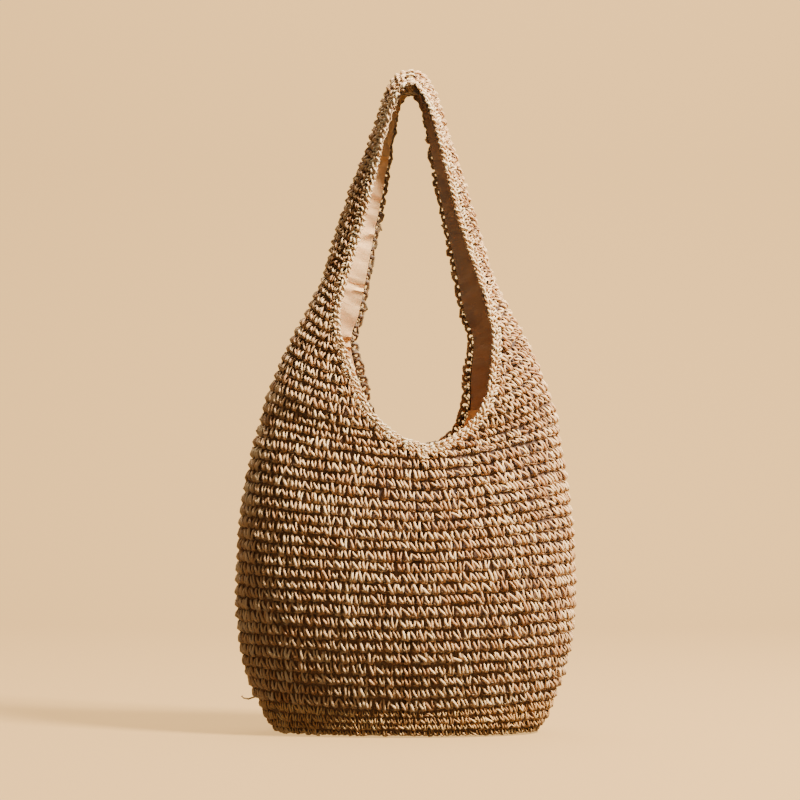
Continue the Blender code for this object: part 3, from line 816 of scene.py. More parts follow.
@dataclass(frozen=True)
class PlainFinish:
    """A fine-grained finish for the base board and the satin label."""

    name: str
    colour: Colour
    shaded: Colour
    roughness: float
    grain: Colour

    def material(self) -> bpy.types.Material:
        """The finish as a material."""
        made, nodes, shader = start_material(self.name)
        place = nodes.own_place()
        fibres = nodes.noise(place, self.grain, 3.0, 0.6)
        shade = nodes.ramp(fibres, (0.35, 0.0), (0.7, 1.0))
        plug(nodes, shader, {
            "Base Color": nodes.mix(shade, self.colour, self.shaded),
            "Roughness": fibres * 0.2 + (self.roughness - 0.1), "Normal": nodes.bump(fibres, 0.5, 0.15 * MM),
        })
        return made


STRAW = StrawFinish("straw")
# A lighter copy of the straw for the edgings and the crown: its extra brightness is painted light.
STRAW_EDGE_PAINTED_LIGHT = StrawFinish(
    "straw_edge", dull=(0.520, 0.250, 0.085), body=(0.900, 0.520, 0.210), light=(1.000, 0.780, 0.440),
)
STRAW_BASE = StrawFinish(
    "straw_base", deep=(0.090, 0.032, 0.008), dull=(0.340, 0.150, 0.040), body=(0.860, 0.420, 0.125),
    light=(1.000, 0.640, 0.240),
)
# A dark sheet of painted shade, laid under the stitches.
SHADE_SHEET = ShadeSheetFinish()
LINING = ClothFinish("lining_cloth")
# A darker, duller copy of the lining for the right-hand facings: painted shade where the key light does not
# reach.
LINING_PAINTED_SHADE = ClothFinish("lining_cloth_deep", (0.500, 0.350, 0.230), (0.370, 0.240, 0.150))
THREAD = PlainFinish(
    "sewing_thread", (0.700, 0.480, 0.320), (0.520, 0.330, 0.210), 0.6, (3000.0, 3000.0, 900.0),
)
BRASS_ZIP = MetalFinish("zip_brass")
BRASS_SNAP = MetalFinish("snap_brass", grain=(1500.0, 1500.0, 1500.0))
TAPE = TapeFinish()
BOARD = PlainFinish(
    "base_board_fibre", (0.105, 0.088, 0.072), (0.055, 0.046, 0.038), 0.7, (240.0, 900.0, 900.0),
)
SATIN = PlainFinish(
    "label_satin", (0.860, 0.830, 0.780), (0.760, 0.720, 0.660), 0.42, (300.0, 300.0, 2600.0),
)


class Palette:
    """Makes each finish's material once."""

    def __init__(self) -> None:
        """Starts with no material made."""
        self.made: dict[str, bpy.types.Material] = {}

    def get(self, finish: Finish) -> bpy.types.Material:
        """The material of a finish."""
        if finish.name not in self.made:
            self.made[finish.name] = finish.material()
        return self.made[finish.name]


PALETTE = Palette()


def link(name: str, data: bpy.types.ID) -> bpy.types.Object:
    """An object of this data, in the scene."""
    made = bpy.data.objects.new(name, data)
    bpy.context.scene.collection.objects.link(made)
    return made


def new_object(name: str, vertices: np.ndarray, faces: Sequence[Sequence[int]]) -> bpy.types.Object:
    """A smooth mesh object at the origin, with its place in its mesh."""
    mesh = bpy.data.meshes.new(name)
    mesh.from_pydata(np.asarray(vertices, float).tolist(), [], [tuple(face) for face in faces])
    mesh.polygons.foreach_set("use_smooth", [True] * len(mesh.polygons))
    mesh.update()
    return link(name, mesh)


def dress_cloth(made: bpy.types.Object, flat: np.ndarray, finish: Finish) -> None:
    """Gives a cloth its finish and, from each vertex's place on the flat cloth, its UV map."""
    uv = made.data.uv_layers.new(name="cloth")
    corners = np.zeros(len(made.data.loops), int)
    made.data.loops.foreach_get("vertex_index", corners)
    uv.data.foreach_set("uv", flat[corners].astype(np.float32).ravel())
    made.data.materials.append(PALETTE.get(finish))


def add_values(mesh: bpy.types.Mesh, name: str, values: np.ndarray) -> None:
    """A float or vector attribute on the mesh's points."""
    kind = "FLOAT" if values.ndim == 1 else "FLOAT_VECTOR"
    layer = mesh.attributes.new(name, kind, "POINT")
    layer.data.foreach_set("value" if values.ndim == 1 else "vector", values.astype(np.float32).ravel())


def grid_cells(corner: np.ndarray) -> list[tuple[int, ...]]:
    """The four-cornered cells of a grid of vertex numbers."""
    cells = np.stack((corner[:-1, :-1], corner[:-1, 1:], corner[1:, 1:], corner[1:, :-1]), axis=-1)
    return [tuple(cell) for cell in cells.reshape(-1, 4).tolist()]


def shell_faces(cells: Sequence[tuple[int, ...]], count: int) -> list[tuple[int, ...]]:
    """The faces of a closed shell.

    Args:
        cells: The faces of its first side.
        count: Vertices of one side; the other side's come after them, in the same order.

    Returns:
        The first side, the second side turned over, and the strips that join their open edges.
    """
    edges = {(a, b) for cell in cells for a, b in zip(cell, cell[1:] + cell[:1])}
    faces = [*cells, *(tuple(corner + count for corner in reversed(cell)) for cell in cells)]
    return faces + [(b, a, a + count, b + count) for a, b in sorted(edges) if (b, a) not in edges]


def ring_faces(rings: int, sides: int, turned: bool = False) -> list[tuple[int, ...]]:
    """The faces between rings of vertices that follow one another.

    Args:
        rings: Number of rings.
        sides: Vertices in each.
        turned: Whether the faces look the other way.

    Returns:
        Four-cornered faces, ring by ring.
    """
    faces = []
    for a in range(0, (rings - 1) * sides, sides):
        for i in range(sides):
            j, b = (i + 1) % sides, a + sides
            face = (a + i, b + i, b + j, a + j)
            faces.append((face[0], *face[:0:-1]) if turned else face)
    return faces


def tube(
    path: np.ndarray, radius: np.ndarray, sides: int, spin: float = 0.0,
) -> tuple[np.ndarray, list[tuple[int, ...]], np.ndarray]:
    """A closed strand along a path.

    Args:
        path: Points of its middle line.
        radius: Its radius at each point.
        sides: Corners of its section.
        spin: Turn of the section from one end to the other, in radians.

    Returns:
        Vertices, faces, and the strand coordinate of each vertex: distance along in stitch
        radii, then the cosine and sine of its place round the strand.
    """
    tangent = unit(np.gradient(path, axis=0))
    reference = (0.0, 0.0, 1.0) if abs(tangent[:, 2]).max() < 0.9 else (1.0, 0.0, 0.0)
    across = unit(np.cross(tangent, reference))
    rise = np.cross(across, tangent)
    count = len(path)
    angle = 2 * math.pi * np.arange(sides) / sides
    turned = angle[None, :] + spin * np.linspace(0, 1, count)[:, None]
    ring = across[:, None] * np.cos(turned)[..., None] + rise[:, None] * np.sin(turned)[..., None]
    vertices = (path[:, None] + ring * radius[:, None, None]).reshape(-1, 3)
    along = run_length(path) / max(float(radius.mean()), 1e-9) * 0.5
    coordinate = np.stack((
        np.repeat(along, sides), np.tile(np.cos(angle), count), np.tile(np.sin(angle), count),
    ), axis=1)
    ends = [tuple(range(sides)), tuple((count - 1) * sides + i for i in reversed(range(sides)))]
    return vertices, ring_faces(count, sides) + ends, coordinate


class StitchKind(Enum):
    """The stitches that the bag is worked in."""

    ROW = "row"
    CHAIN = "chain"
    LOOP = "loop"
    THREAD = "thread"


@dataclass(frozen=True)
class Strand:
    """One strand of a stitch: points and radii in millimetres, and its number of sides."""

    path: tuple[Point, ...]
    radius: tuple[float, ...]
    sides: int = 5


@dataclass
class StitchBook:
    """The stitch shapes, several versions of each, kept in their own collections while they are in use."""

    versions: int = 7
    seed: int = 11
    loose: float = 0.46
    thread_loose: float = 0.02
    stray: float = 0.07
    shelves: dict[StitchKind, bpy.types.Collection] = field(default_factory=dict)

    patterns = {
        StitchKind.ROW: (
            Strand(((-4.1, 5.4, -2.4), (-3.5, 3.7, -0.2), (-2.2, 0.9, 1.1), (-0.6, -2.2, 1.5),
                    (0.9, -4.8, -0.3)), (0.75, 1.10, 1.30, 1.60, 1.15)),
            Strand(((1.7, 5.5, -2.4), (2.0, 3.7, 0.0), (2.2, 0.5, 1.2), (2.5, -2.3, 1.1),
                    (2.9, -4.8, -0.7)), (0.80, 1.05, 1.20, 1.30, 1.05)),
            Strand(((-4.8, -3.7, -2.0), (-1.6, -4.9, -1.0), (1.8, -4.9, -1.0), (4.8, -3.8, -2.0)),
                   (0.95, 1.30, 1.30, 0.95), 4),
        ),
        StitchKind.CHAIN: (
            Strand(((-4.6, -2.0, -0.7), (-2.2, -0.7, 0.8), (0.8, 0.8, 1.0), (4.2, 2.1, -0.6)),
                   (0.95, 1.35, 1.40, 0.90)),
            Strand(((-3.6, 2.1, -0.9), (-1.2, 0.9, 0.0), (1.6, -0.9, 0.1), (4.6, -2.1, -0.8)),
                   (0.90, 1.25, 1.25, 0.90)),
        ),
        StitchKind.LOOP: (
            Strand(((-2.9, -4.8, -0.9), (-3.7, -1.4, 0.3), (-2.9, 1.9, 0.7), (0.3, 3.3, 0.5),
                    (3.0, 1.7, -0.2), (3.6, -1.6, -0.5), (2.8, -4.8, -0.9)),
                   (1.90, 2.30, 2.30, 2.50, 2.30, 2.15, 1.90)),
            Strand(((-4.8, 2.4, -0.6), (-2.2, 3.4, 0.2), (2.0, 3.2, 0.0), (4.8, 1.4, -0.8)),
                   (1.10, 1.55, 1.50, 1.10), 4),
        ),
        StitchKind.THREAD: (
            Strand(((-1.25, 0.0, -0.25), (-0.7, 0.0, 0.18), (0.7, 0.0, 0.18), (1.25, 0.0, -0.25)),
                   (0.13, 0.24, 0.24, 0.13)),
        ),
    }

    def shelf(self, kind: StitchKind) -> bpy.types.Collection:
        """The collection with the versions of one stitch, made on first use."""
        if kind in self.shelves:
            return self.shelves[kind]
        shelf = bpy.data.collections.new(f"stitches_{kind.value}")
        bpy.context.scene.collection.children.link(shelf)
        rng = np.random.default_rng(self.seed)
        for version in range(self.versions):
            made = self._stitch(f"stitch_{kind.value}_{version}", self.patterns[kind], rng, kind)
            bpy.context.scene.collection.objects.unlink(made)
            shelf.objects.link(made)
        self.shelves[kind] = shelf
        return shelf

    def _stitch(
        self, name: str, strands: Sequence[Strand], rng: np.random.Generator, kind: StitchKind,
    ) -> bpy.types.Object:
        """One version of a stitch, its strands bent a little by hand."""
        vertices, faces, coordinates = [], [], []
        is_thread = kind is StitchKind.THREAD
        loose = self.thread_loose if is_thread else self.loose
        for strand in strands:
            path = np.array(strand.path)
            path[1:-1] += rng.normal(0.0, loose, (len(path) - 2, 3))
            radius = np.array(strand.radius) * rng.normal(1.0, self.stray)
            start = sum(len(block) for block in vertices)
            block, cells, coordinate = tube(path, radius, strand.sides, rng.uniform(-0.8, 0.8))
            vertices.append(block)
            faces += [tuple(corner + start for corner in cell) for cell in cells]
            coordinate[:, 0] += rng.uniform(0, 9)
            coordinates.append(coordinate)
        points = np.concatenate(vertices)
        made = new_object(name, points * MM, faces)
        add_values(made.data, "strand", np.concatenate(coordinates))
        # How far each point lies below its stitch's crown: the straw material paints shade by it, and thread
        # stitches get none.
        sunk = np.clip((1.0 - points[:, 2]) / 3.6, 0, 1)
        add_values(made.data, "sunk", sunk * (not is_thread))
        return made

    def put_away(self) -> None:
        """Removes the stitch shapes once every piece is made."""
        for shelf in self.shelves.values():
            for made in list(shelf.objects):
                bpy.data.objects.remove(made, do_unlink=True)
            bpy.data.collections.remove(shelf)
        self.shelves.clear()


class StitchTree:
    """The Geometry Nodes tree that works stitches onto points."""

    def __init__(self) -> None:
        """Builds the tree with its named inputs."""
        tree = bpy.data.node_groups.new("work_stitches", "GeometryNodeTree")
        self.tree = tree
        kinds = {
            "Stitch Points": "NodeSocketGeometry", "Stitch Versions": "NodeSocketCollection",
            "Last Version": "NodeSocketInt", "Stitch Scale": "NodeSocketFloat", "Seed": "NodeSocketInt",
            "Straw": "NodeSocketMaterial",
        }
        self.inputs = {
            name: tree.interface.new_socket(name, in_out="INPUT", socket_type=kind).identifier
            for name, kind in kinds.items()
        }
        tree.interface.new_socket("Stitches", in_out="OUTPUT", socket_type="NodeSocketGeometry")
        nodes = Nodes(tree)
        given = nodes.node("NodeGroupInput", {}, {})
        inputs = {name: Socket(nodes, given.outputs[name]) for name in kinds}
        turned, size = (
            nodes.add("GeometryNodeInputNamedAttribute", {"data_type": "FLOAT_VECTOR"}, {"Name": name})
            for name in ("turned", "size")
        )
        pick = nodes.add("FunctionNodeRandomValue", {"data_type": "INT"}, {
            4: 0, 5: inputs["Last Version"], "Seed": inputs["Seed"],
        }, 2)
        scale = nodes.add("ShaderNodeVectorMath", {"operation": "SCALE"}, {
            0: size, "Scale": inputs["Stitch Scale"],
        })
        shapes = nodes.add("GeometryNodeCollectionInfo", {}, {
            "Collection": inputs["Stitch Versions"], "Separate Children": True, "Reset Children": True,
        })
        worked = nodes.add("GeometryNodeInstanceOnPoints", {}, {
            "Points": inputs["Stitch Points"], "Instance": shapes, "Pick Instance": True,
            "Instance Index": pick, "Scale": scale,
            "Rotation": nodes.add("FunctionNodeEulerToRotation", {}, {0: turned}),
        })
        real = nodes.add("GeometryNodeRealizeInstances", {}, {"Geometry": worked})
        dressed = nodes.add("GeometryNodeSetMaterial", {}, {"Geometry": real, "Material": inputs["Straw"]})
        nodes.node("NodeGroupOutput", {}, {0: dressed})


@dataclass
class Worker:
    """Works lots of stitches into plain meshes."""

    book: StitchBook
    tree: StitchTree
    seed: int = 5

    def work(self, name: str, placing: Placing, kind: StitchKind, finish: Finish) -> bpy.types.Object:
        """One piece made of stitches.

        Args:
            name: The piece's name.
            placing: Where its stitches go.
            kind: Which stitch.
            finish: Its finish.

        Returns:
            The piece, as a plain mesh.
        """
        carrier = new_object(f"{name}_points", placing.at, [])
        for key, values in (("turned", placing.euler()), ("size", placing.size), ("tone", placing.tone)):
            add_values(carrier.data, key, values)
        step = carrier.modifiers.new("stitches", "NODES")
        step.node_group = self.tree.tree
        values = {
            "Stitch Versions": self.book.shelf(kind), "Last Version": self.book.versions - 1,
            "Stitch Scale": 1.0, "Seed": self.seed, "Straw": PALETTE.get(finish),
        }
        for key, value in values.items():
            step[self.tree.inputs[key]] = value
        graph = bpy.context.evaluated_depsgraph_get()
        mesh = bpy.data.meshes.new_from_object(
            carrier.evaluated_get(graph), preserve_all_data_layers=True, depsgraph=graph,
        )
        mesh.name = name
        for extra in ("turned", "size"):
            if extra in mesh.attributes:
                mesh.attributes.remove(mesh.attributes[extra])
        bpy.data.objects.remove(carrier, do_unlink=True)
        made = link(name, mesh)
        if not len(mesh.materials):
            mesh.materials.append(PALETTE.get(finish))
        self.seed += 1
        return made


class Place(Enum):
    """Which body a piece belongs to."""

    BAG = "bag"
    STRAP = "strap"
    SHOULDER = "shoulder"


def seat(piece: bpy.types.Object, place: Place, replaced: Sequence[str] = ()) -> bpy.types.Object:
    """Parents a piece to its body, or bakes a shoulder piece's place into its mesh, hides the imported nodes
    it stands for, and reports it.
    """
    if place is Place.SHOULDER:
        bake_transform(piece)
    else:
        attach(piece, place.value)
    if replaced:
        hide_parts(*replaced)
    count = sum(len(face.vertices) - 2 for face in piece.data.polygons)
    log.info("%s on the %s: %d triangles", piece.name, place.value, count)
    return piece


def sew(worker: Worker, name: str, placing: Placing, place: Place = Place.BAG) -> None:
    """A piece of sewing stitches on the lining."""
    seat(worker.work(name, placing, StitchKind.THREAD, THREAD), place)


@dataclass
class Patch:
    """A grid of places on a ground, for a cloth or ground layer."""

    ground: Ground
    rounds: np.ndarray
    heights: np.ndarray


Pucker = Callable[[Ground, np.ndarray, np.ndarray], np.ndarray]


def layer(
    name: str, patches: Sequence[Patch], depth: float, thick: float, finish: Finish,
    pucker: Pucker | None = None,
) -> bpy.types.Object:
    """A closed thin layer under the bag surface.

    Args:
        name: The piece's name.
        patches: Its grids, which are joined where they meet.
        depth: Depth of its outer side below the surface, in metres.
        thick: Its thickness.
        finish: Its finish.
        pucker: Gives the extra depth at each round and height of a ground, or None.

    Returns:
        The piece.
    """
    outer, inner, flat, cells = [], [], [], []
    start, weld, crease = 0, 2e-5, math.radians(50)
    for patch in patches:
        q, h = np.meshgrid(patch.rounds, patch.heights)
        at, _, _, out, _ = patch.ground.frame(q, h)
        u = np.cumsum(np.linalg.norm(np.diff(at, axis=1, prepend=at[:, :1]), axis=2), axis=1)
        u -= u[:, -1:] / 2
        v = np.cumsum(np.linalg.norm(np.diff(at, axis=0, prepend=at[:1]), axis=2), axis=0)
        extra = pucker(patch.ground, q, h) if pucker else np.zeros_like(q)
        outer.append((at - out * (depth + extra)[..., None]).reshape(-1, 3))
        inner.append((at - out * (depth + thick + extra)[..., None]).reshape(-1, 3))
        flat.append(np.stack((u.ravel(), v.ravel()), axis=1))
        rows, columns = q.shape
        corner = start + np.arange(rows * columns).reshape(rows, columns)
        cells += grid_cells(corner)
        start += rows * columns
    outer, inner, flat = (np.concatenate(block) for block in (outer, inner, flat))
    _, first, welded = np.unique(np.round(outer / weld), axis=0, return_index=True, return_inverse=True)
    welded = welded.ravel()
    joined = [tuple(dict.fromkeys(welded[list(cell)].tolist())) for cell in cells]
    faces = shell_faces([cell for cell in joined if len(cell) > 2], len(first))
    made = new_object(name, np.concatenate((outer[first], inner[first])), faces)
    made.data.set_sharp_from_angle(angle=crease)
    dress_cloth(made, np.concatenate((flat[first], flat[first])), finish)
    return made


def span(low: float, high: float, step: float) -> np.ndarray:
    """Even heights about one step apart."""
    return np.linspace(low, high, max(int(round((high - low) / step)), 2) + 1)


THREAD_LIFT = 0.05 * MM
HALVES = {"right": HalfBag(1), "left": HalfBag(-1)}
# Depth and thickness of the dark sheets of painted shade under the stitches.
SHADE_SHEET_DEPTH = 3.1 * MM
SHADE_SHEET_THICK = 0.6 * MM


@dataclass
class CrochetBody:
    """The rounds of stitches from the base up to the shoulders, over a dark sheet of painted shade."""

    worker: Worker
    gauge: Gauge = Gauge()
    bands: int = 4
    seed: int = 21

    def build(self) -> None:
        """Works the bands and the ground."""
        rng = np.random.default_rng(self.seed)
        whole = RoundBag()
        rows: list[Placing] = []
        for height, share in courses(BODY_BOTTOM, SHOULDER_LOW, self.gauge.course, whole, 1.0):
            if height <= MOUTH_ROW:
                rows.append(lay_course(whole, height, share, self.gauge, rng))
            else:
                rows.append(Placing.joined(
                    lay_course(half, height, share, self.gauge, rng, clear_of_edging(half.side, height))
                    for half in HALVES.values()
                ))
        for band in range(self.bands):
            first, last = (part * len(rows) // self.bands for part in (band, band + 1))
            mine = Placing.joined(rows[first:last])
            piece = self.worker.work(f"crochet_rounds_{band + 1}", mine, StitchKind.ROW, STRAW)
            seat(piece, Place.BAG, ("crochet_body",) if band == 0 else ())
        self.lay_ground()

    def lay_ground(self) -> None:
        """The dark sheet of painted shade that shows between the stitches."""
        low = span(BODY_BOTTOM, MOUTH_ROW, 0.008)
        high = np.concatenate(([MOUTH_ROW, 0.301, 0.303, 0.306], span(0.310, SHOULDER_LOW, 0.006)))
        rounds = np.linspace(0, 2, 65)
        patches = [Patch(half, rounds, low) for half in HALVES.values()]
        patches += [Patch(half, rounds, high) for half in HALVES.values()]
        piece = layer("crochet_ground_body", patches, SHADE_SHEET_DEPTH, SHADE_SHEET_THICK, SHADE_SHEET)
        seat(piece, Place.BAG)


@dataclass
class CrochetBase:
    """The base, worked finer than the body, on its wall and on its underside."""

    worker: Worker
    gauge: Gauge = Gauge(5.6 * MM, 6.4 * MM, 2.1 * MM, 0.30, 0.16, 0.42, 0.78)
    seed: int = 31
    middle: float = 0.004
    wall_from: float = 0.0505
    flattened: float = 0.72
    clearance: float = 3.5 * MM
    ground_depth: float = 2.9 * MM

    def build(self) -> None:
        """Works the wall, the underside and the dark sheet of painted shade under them."""
        rng = np.random.default_rng(self.seed)
        ground = BaseGround()
        wall, under = [], []
        for height, share in courses(self.middle, ground.rim, self.gauge.course, ground, 0.0):
            made = lay_course(ground, height, share, self.gauge, rng)
            if height > self.wall_from:
                wall.append(made)
            else:
                made.size[:, 2] *= self.flattened
                under.append(made)
            made.at[:, 2] = np.maximum(made.at[:, 2], self.clearance)
        for word, rows, replaced in (("wall", wall, ("crochet_base",)), ("underside", under, ())):
            rings = Placing.joined(rows)
            piece = self.worker.work(f"crochet_base_{word}", rings, StitchKind.ROW, STRAW_BASE)
            seat(piece, Place.BAG, replaced)
        # A dark sheet of painted shade under the base's stitches.
        heights = np.concatenate(([0.0], span(self.middle, ground.rim, 0.005)))
        patch = Patch(ground, full_turn(128), heights)
        piece = layer("crochet_ground_base", [patch], self.ground_depth, SHADE_SHEET_THICK, SHADE_SHEET)
        seat(piece, Place.BAG)


@dataclass
class CrochetStrap:
    """The shoulders and the strap's two halves, worked across, and the gathered crown."""

    worker: Worker
    shoulder_gauge: Gauge = Gauge(7.6 * MM, 9.8 * MM, sway=0.24, uneven=0.15, thick=0.95)
    strap_gauge: Gauge = Gauge(6.2 * MM, 7.6 * MM, sway=0.42, uneven=0.18, thick=0.86)
    seed: int = 41
    crown_from: float = 0.6591
    crown_count: int = 9
    crown_reach: float = 0.95
    crown_sink: float = 2.1 * MM
    crown_size: tuple[float, float, float] = (0.70, 0.92, 0.72)
    crown_uneven: float = 0.12
    crown_sway: float = 0.5

    def build(self) -> None:
        """Works every piece above the body."""
        rng = np.random.default_rng(self.seed)
        stretches = (
            (Place.SHOULDER, SHOULDER_LOW, SHOULDER_HIGH, self.shoulder_gauge),
            (Place.STRAP, SHOULDER_HIGH, self.crown_from, self.strap_gauge),
        )
        for word, half in HALVES.items():
            for place, low, high, gauge in stretches:
                rows = Placing.joined(
                    lay_course(half, height, share, gauge, rng, clear_of_edging(half.side, height))
                    for height, share in courses(low, high, gauge.course, half, 1.0)
                )
                name = f"{place.value}_rows_{word}"
                piece = self.worker.work(name, rows, StitchKind.ROW, STRAW)
                seat(piece, place, (f"crochet_{place.value}_{word}",))
                # A dark sheet of painted shade under each stretch of rows, showing between the stitches.
                patch = Patch(half, np.linspace(0, 2, 41), span(low, high, 0.006))
                seat(layer(f"{name}_ground", [patch], SHADE_SHEET_DEPTH, SHADE_SHEET_THICK, SHADE_SHEET), place)
        self._crown(rng)

    def _crown(self, rng: np.random.Generator) -> None:
        """Small stitches along the fold at the top of the strap."""
        count = self.crown_count
        turn = np.linspace(-self.crown_reach, self.crown_reach, count)
        along, up, out = (
            np.tile(way, (count, 1)) for way in ((0.0, 1.0, 0.0), (-1.0, 0.0, 0.0), (0.0, 0.0, 1.0))
        )
        at = BAG.place(np.ones(count), TOP, turn) - out * self.crown_sink
        size = np.tile(self.crown_size, (count, 1)) * rng.normal(1, self.crown_uneven, (count, 3))
        made = Placing(at, along, up, out, size, rng.uniform(0.2, 0.8, count))
        made = made.swayed(rng.normal(0, self.crown_sway, count))
        piece = self.worker.work("strap_crown", made, StitchKind.ROW, STRAW_EDGE_PAINTED_LIGHT)
        seat(piece, Place.STRAP, ("strap_top_seam",))


@dataclass
class EdgeRow:
    """One line of stitches along an edge: its reach past the edging's rim and how it is worked."""

    kind: StitchKind
    reach: float
    pitch: float
    width: float
    thick: float = 1.0
    sink: float = 1.4 * MM
    sway: float = 0.12
    uneven: float = 0.09


@dataclass
class Edging:
    """The bands along both edges: close stitches in front, open loops behind."""

    worker: Worker
    seed: int = 51
    front: tuple[EdgeRow, ...] = (
        EdgeRow(StitchKind.ROW, -7.8 * MM, 6.6 * MM, 0.54, 0.95, 1.7 * MM, 0.3),
        EdgeRow(StitchKind.CHAIN, -4.5 * MM, 6.4 * MM, 0.80, 1.0, 1.1 * MM, 0.22),
        EdgeRow(StitchKind.CHAIN, -1.5 * MM, 6.0 * MM, 0.78, 1.0, 1.4 * MM, 0.22),
    )
    back: tuple[EdgeRow, ...] = (
        EdgeRow(StitchKind.ROW, -6.4 * MM, 7.2 * MM, 0.50),
        EdgeRow(StitchKind.LOOP, -2.6 * MM, 8.8 * MM, 0.68, 1.0, 1.8 * MM, 0.34, 0.15),
    )
    jitter: float = 0.1
    hand_limits: tuple[float, float] = (0.7, 1.35)
    tone: float = 0.58
    tone_spread: float = 0.2
    chain_pitch = 8.0 * MM
    covered_front = 9.0 * MM
    covered_back = 2.5 * MM

    def build(self) -> None:
        """Works both edges, split into mouth, shoulders and strap."""
        rng = np.random.default_rng(self.seed)
        for face, word, rows in ((FRONT, "front", self.front), (BACK, "back", self.back)):
            line = EdgeLine(face)
            lots = [(row, *self._row(line, row, rng)) for row in rows]
            self._split(word, lots)

    def _row(
        self, line: EdgeLine, row: EdgeRow, rng: np.random.Generator,
    ) -> tuple[Placing, np.ndarray, np.ndarray]:
        """One line of stitches, with each one's height and side."""
        path = line.at + line.across * (line.width + row.reach)[:, None]
        run = run_length(path)
        count = int(round(run[-1] / row.pitch))
        jitter = rng.uniform(-self.jitter, self.jitter, count)
        where = (np.arange(count) + 0.5 + jitter) * run[-1] / count
        at, out, along, height, side = (
            read_line(where, run, values)
            for values in (path, line.out, line.along, line.height, line.side.astype(float))
        )
        out, along = unit(out), unit(along)
        up = unit(np.cross(out, along))
        own_pitch = self.chain_pitch if row.kind is StitchKind.CHAIN else Gauge.pitch
        wide = run[-1] / count / own_pitch
        size = np.tile((wide, row.width, row.thick), (count, 1))
        size *= rng.normal(1.0, row.uneven, (count, 3)).clip(*self.hand_limits)
        tone = np.clip(rng.normal(self.tone, self.tone_spread, count), 0, 1)
        made = Placing(at - out * row.sink, along, up, out, size, tone)
        return made.swayed(rng.normal(0, row.sway, count)), height, np.sign(side)

    def _split(self, word: str, lots: Sequence[tuple]) -> None:
        """Pieces for the mouth, each shoulder and the strap, each joined from its lines."""
        masks = {
            f"mouth_edge_{word}": (Place.BAG, f"mouth_edging_{word}", lambda h, s: h < SHOULDER_LOW),
            f"strap_edge_{word}": (Place.STRAP, f"strap_edging_{word}", lambda h, s: h >= SHOULDER_HIGH),
        }
        for hand, sign in (("left", -1), ("right", 1)):
            masks[f"shoulder_edge_{word}_{hand}"] = (
                Place.SHOULDER, f"shoulder_edging_{word}_{hand}",
                lambda h, s, sign=sign: (h >= SHOULDER_LOW) & (h < SHOULDER_HIGH) & (s == sign),
            )
        for name, (place, replaced, keep) in masks.items():
            by_kind: dict[StitchKind, list[Placing]] = {}
            for row, placing, height, side in lots:
                by_kind.setdefault(row.kind, []).append(placing.picked(keep(height, side)))
            for kind, parts in by_kind.items():
                first = kind is StitchKind.ROW
                label = name if first else f"{name}_{kind.value}s"
                piece = self.worker.work(label, Placing.joined(parts), kind, STRAW_EDGE_PAINTED_LIGHT)
                seat(piece, place, (replaced,) if first else ())


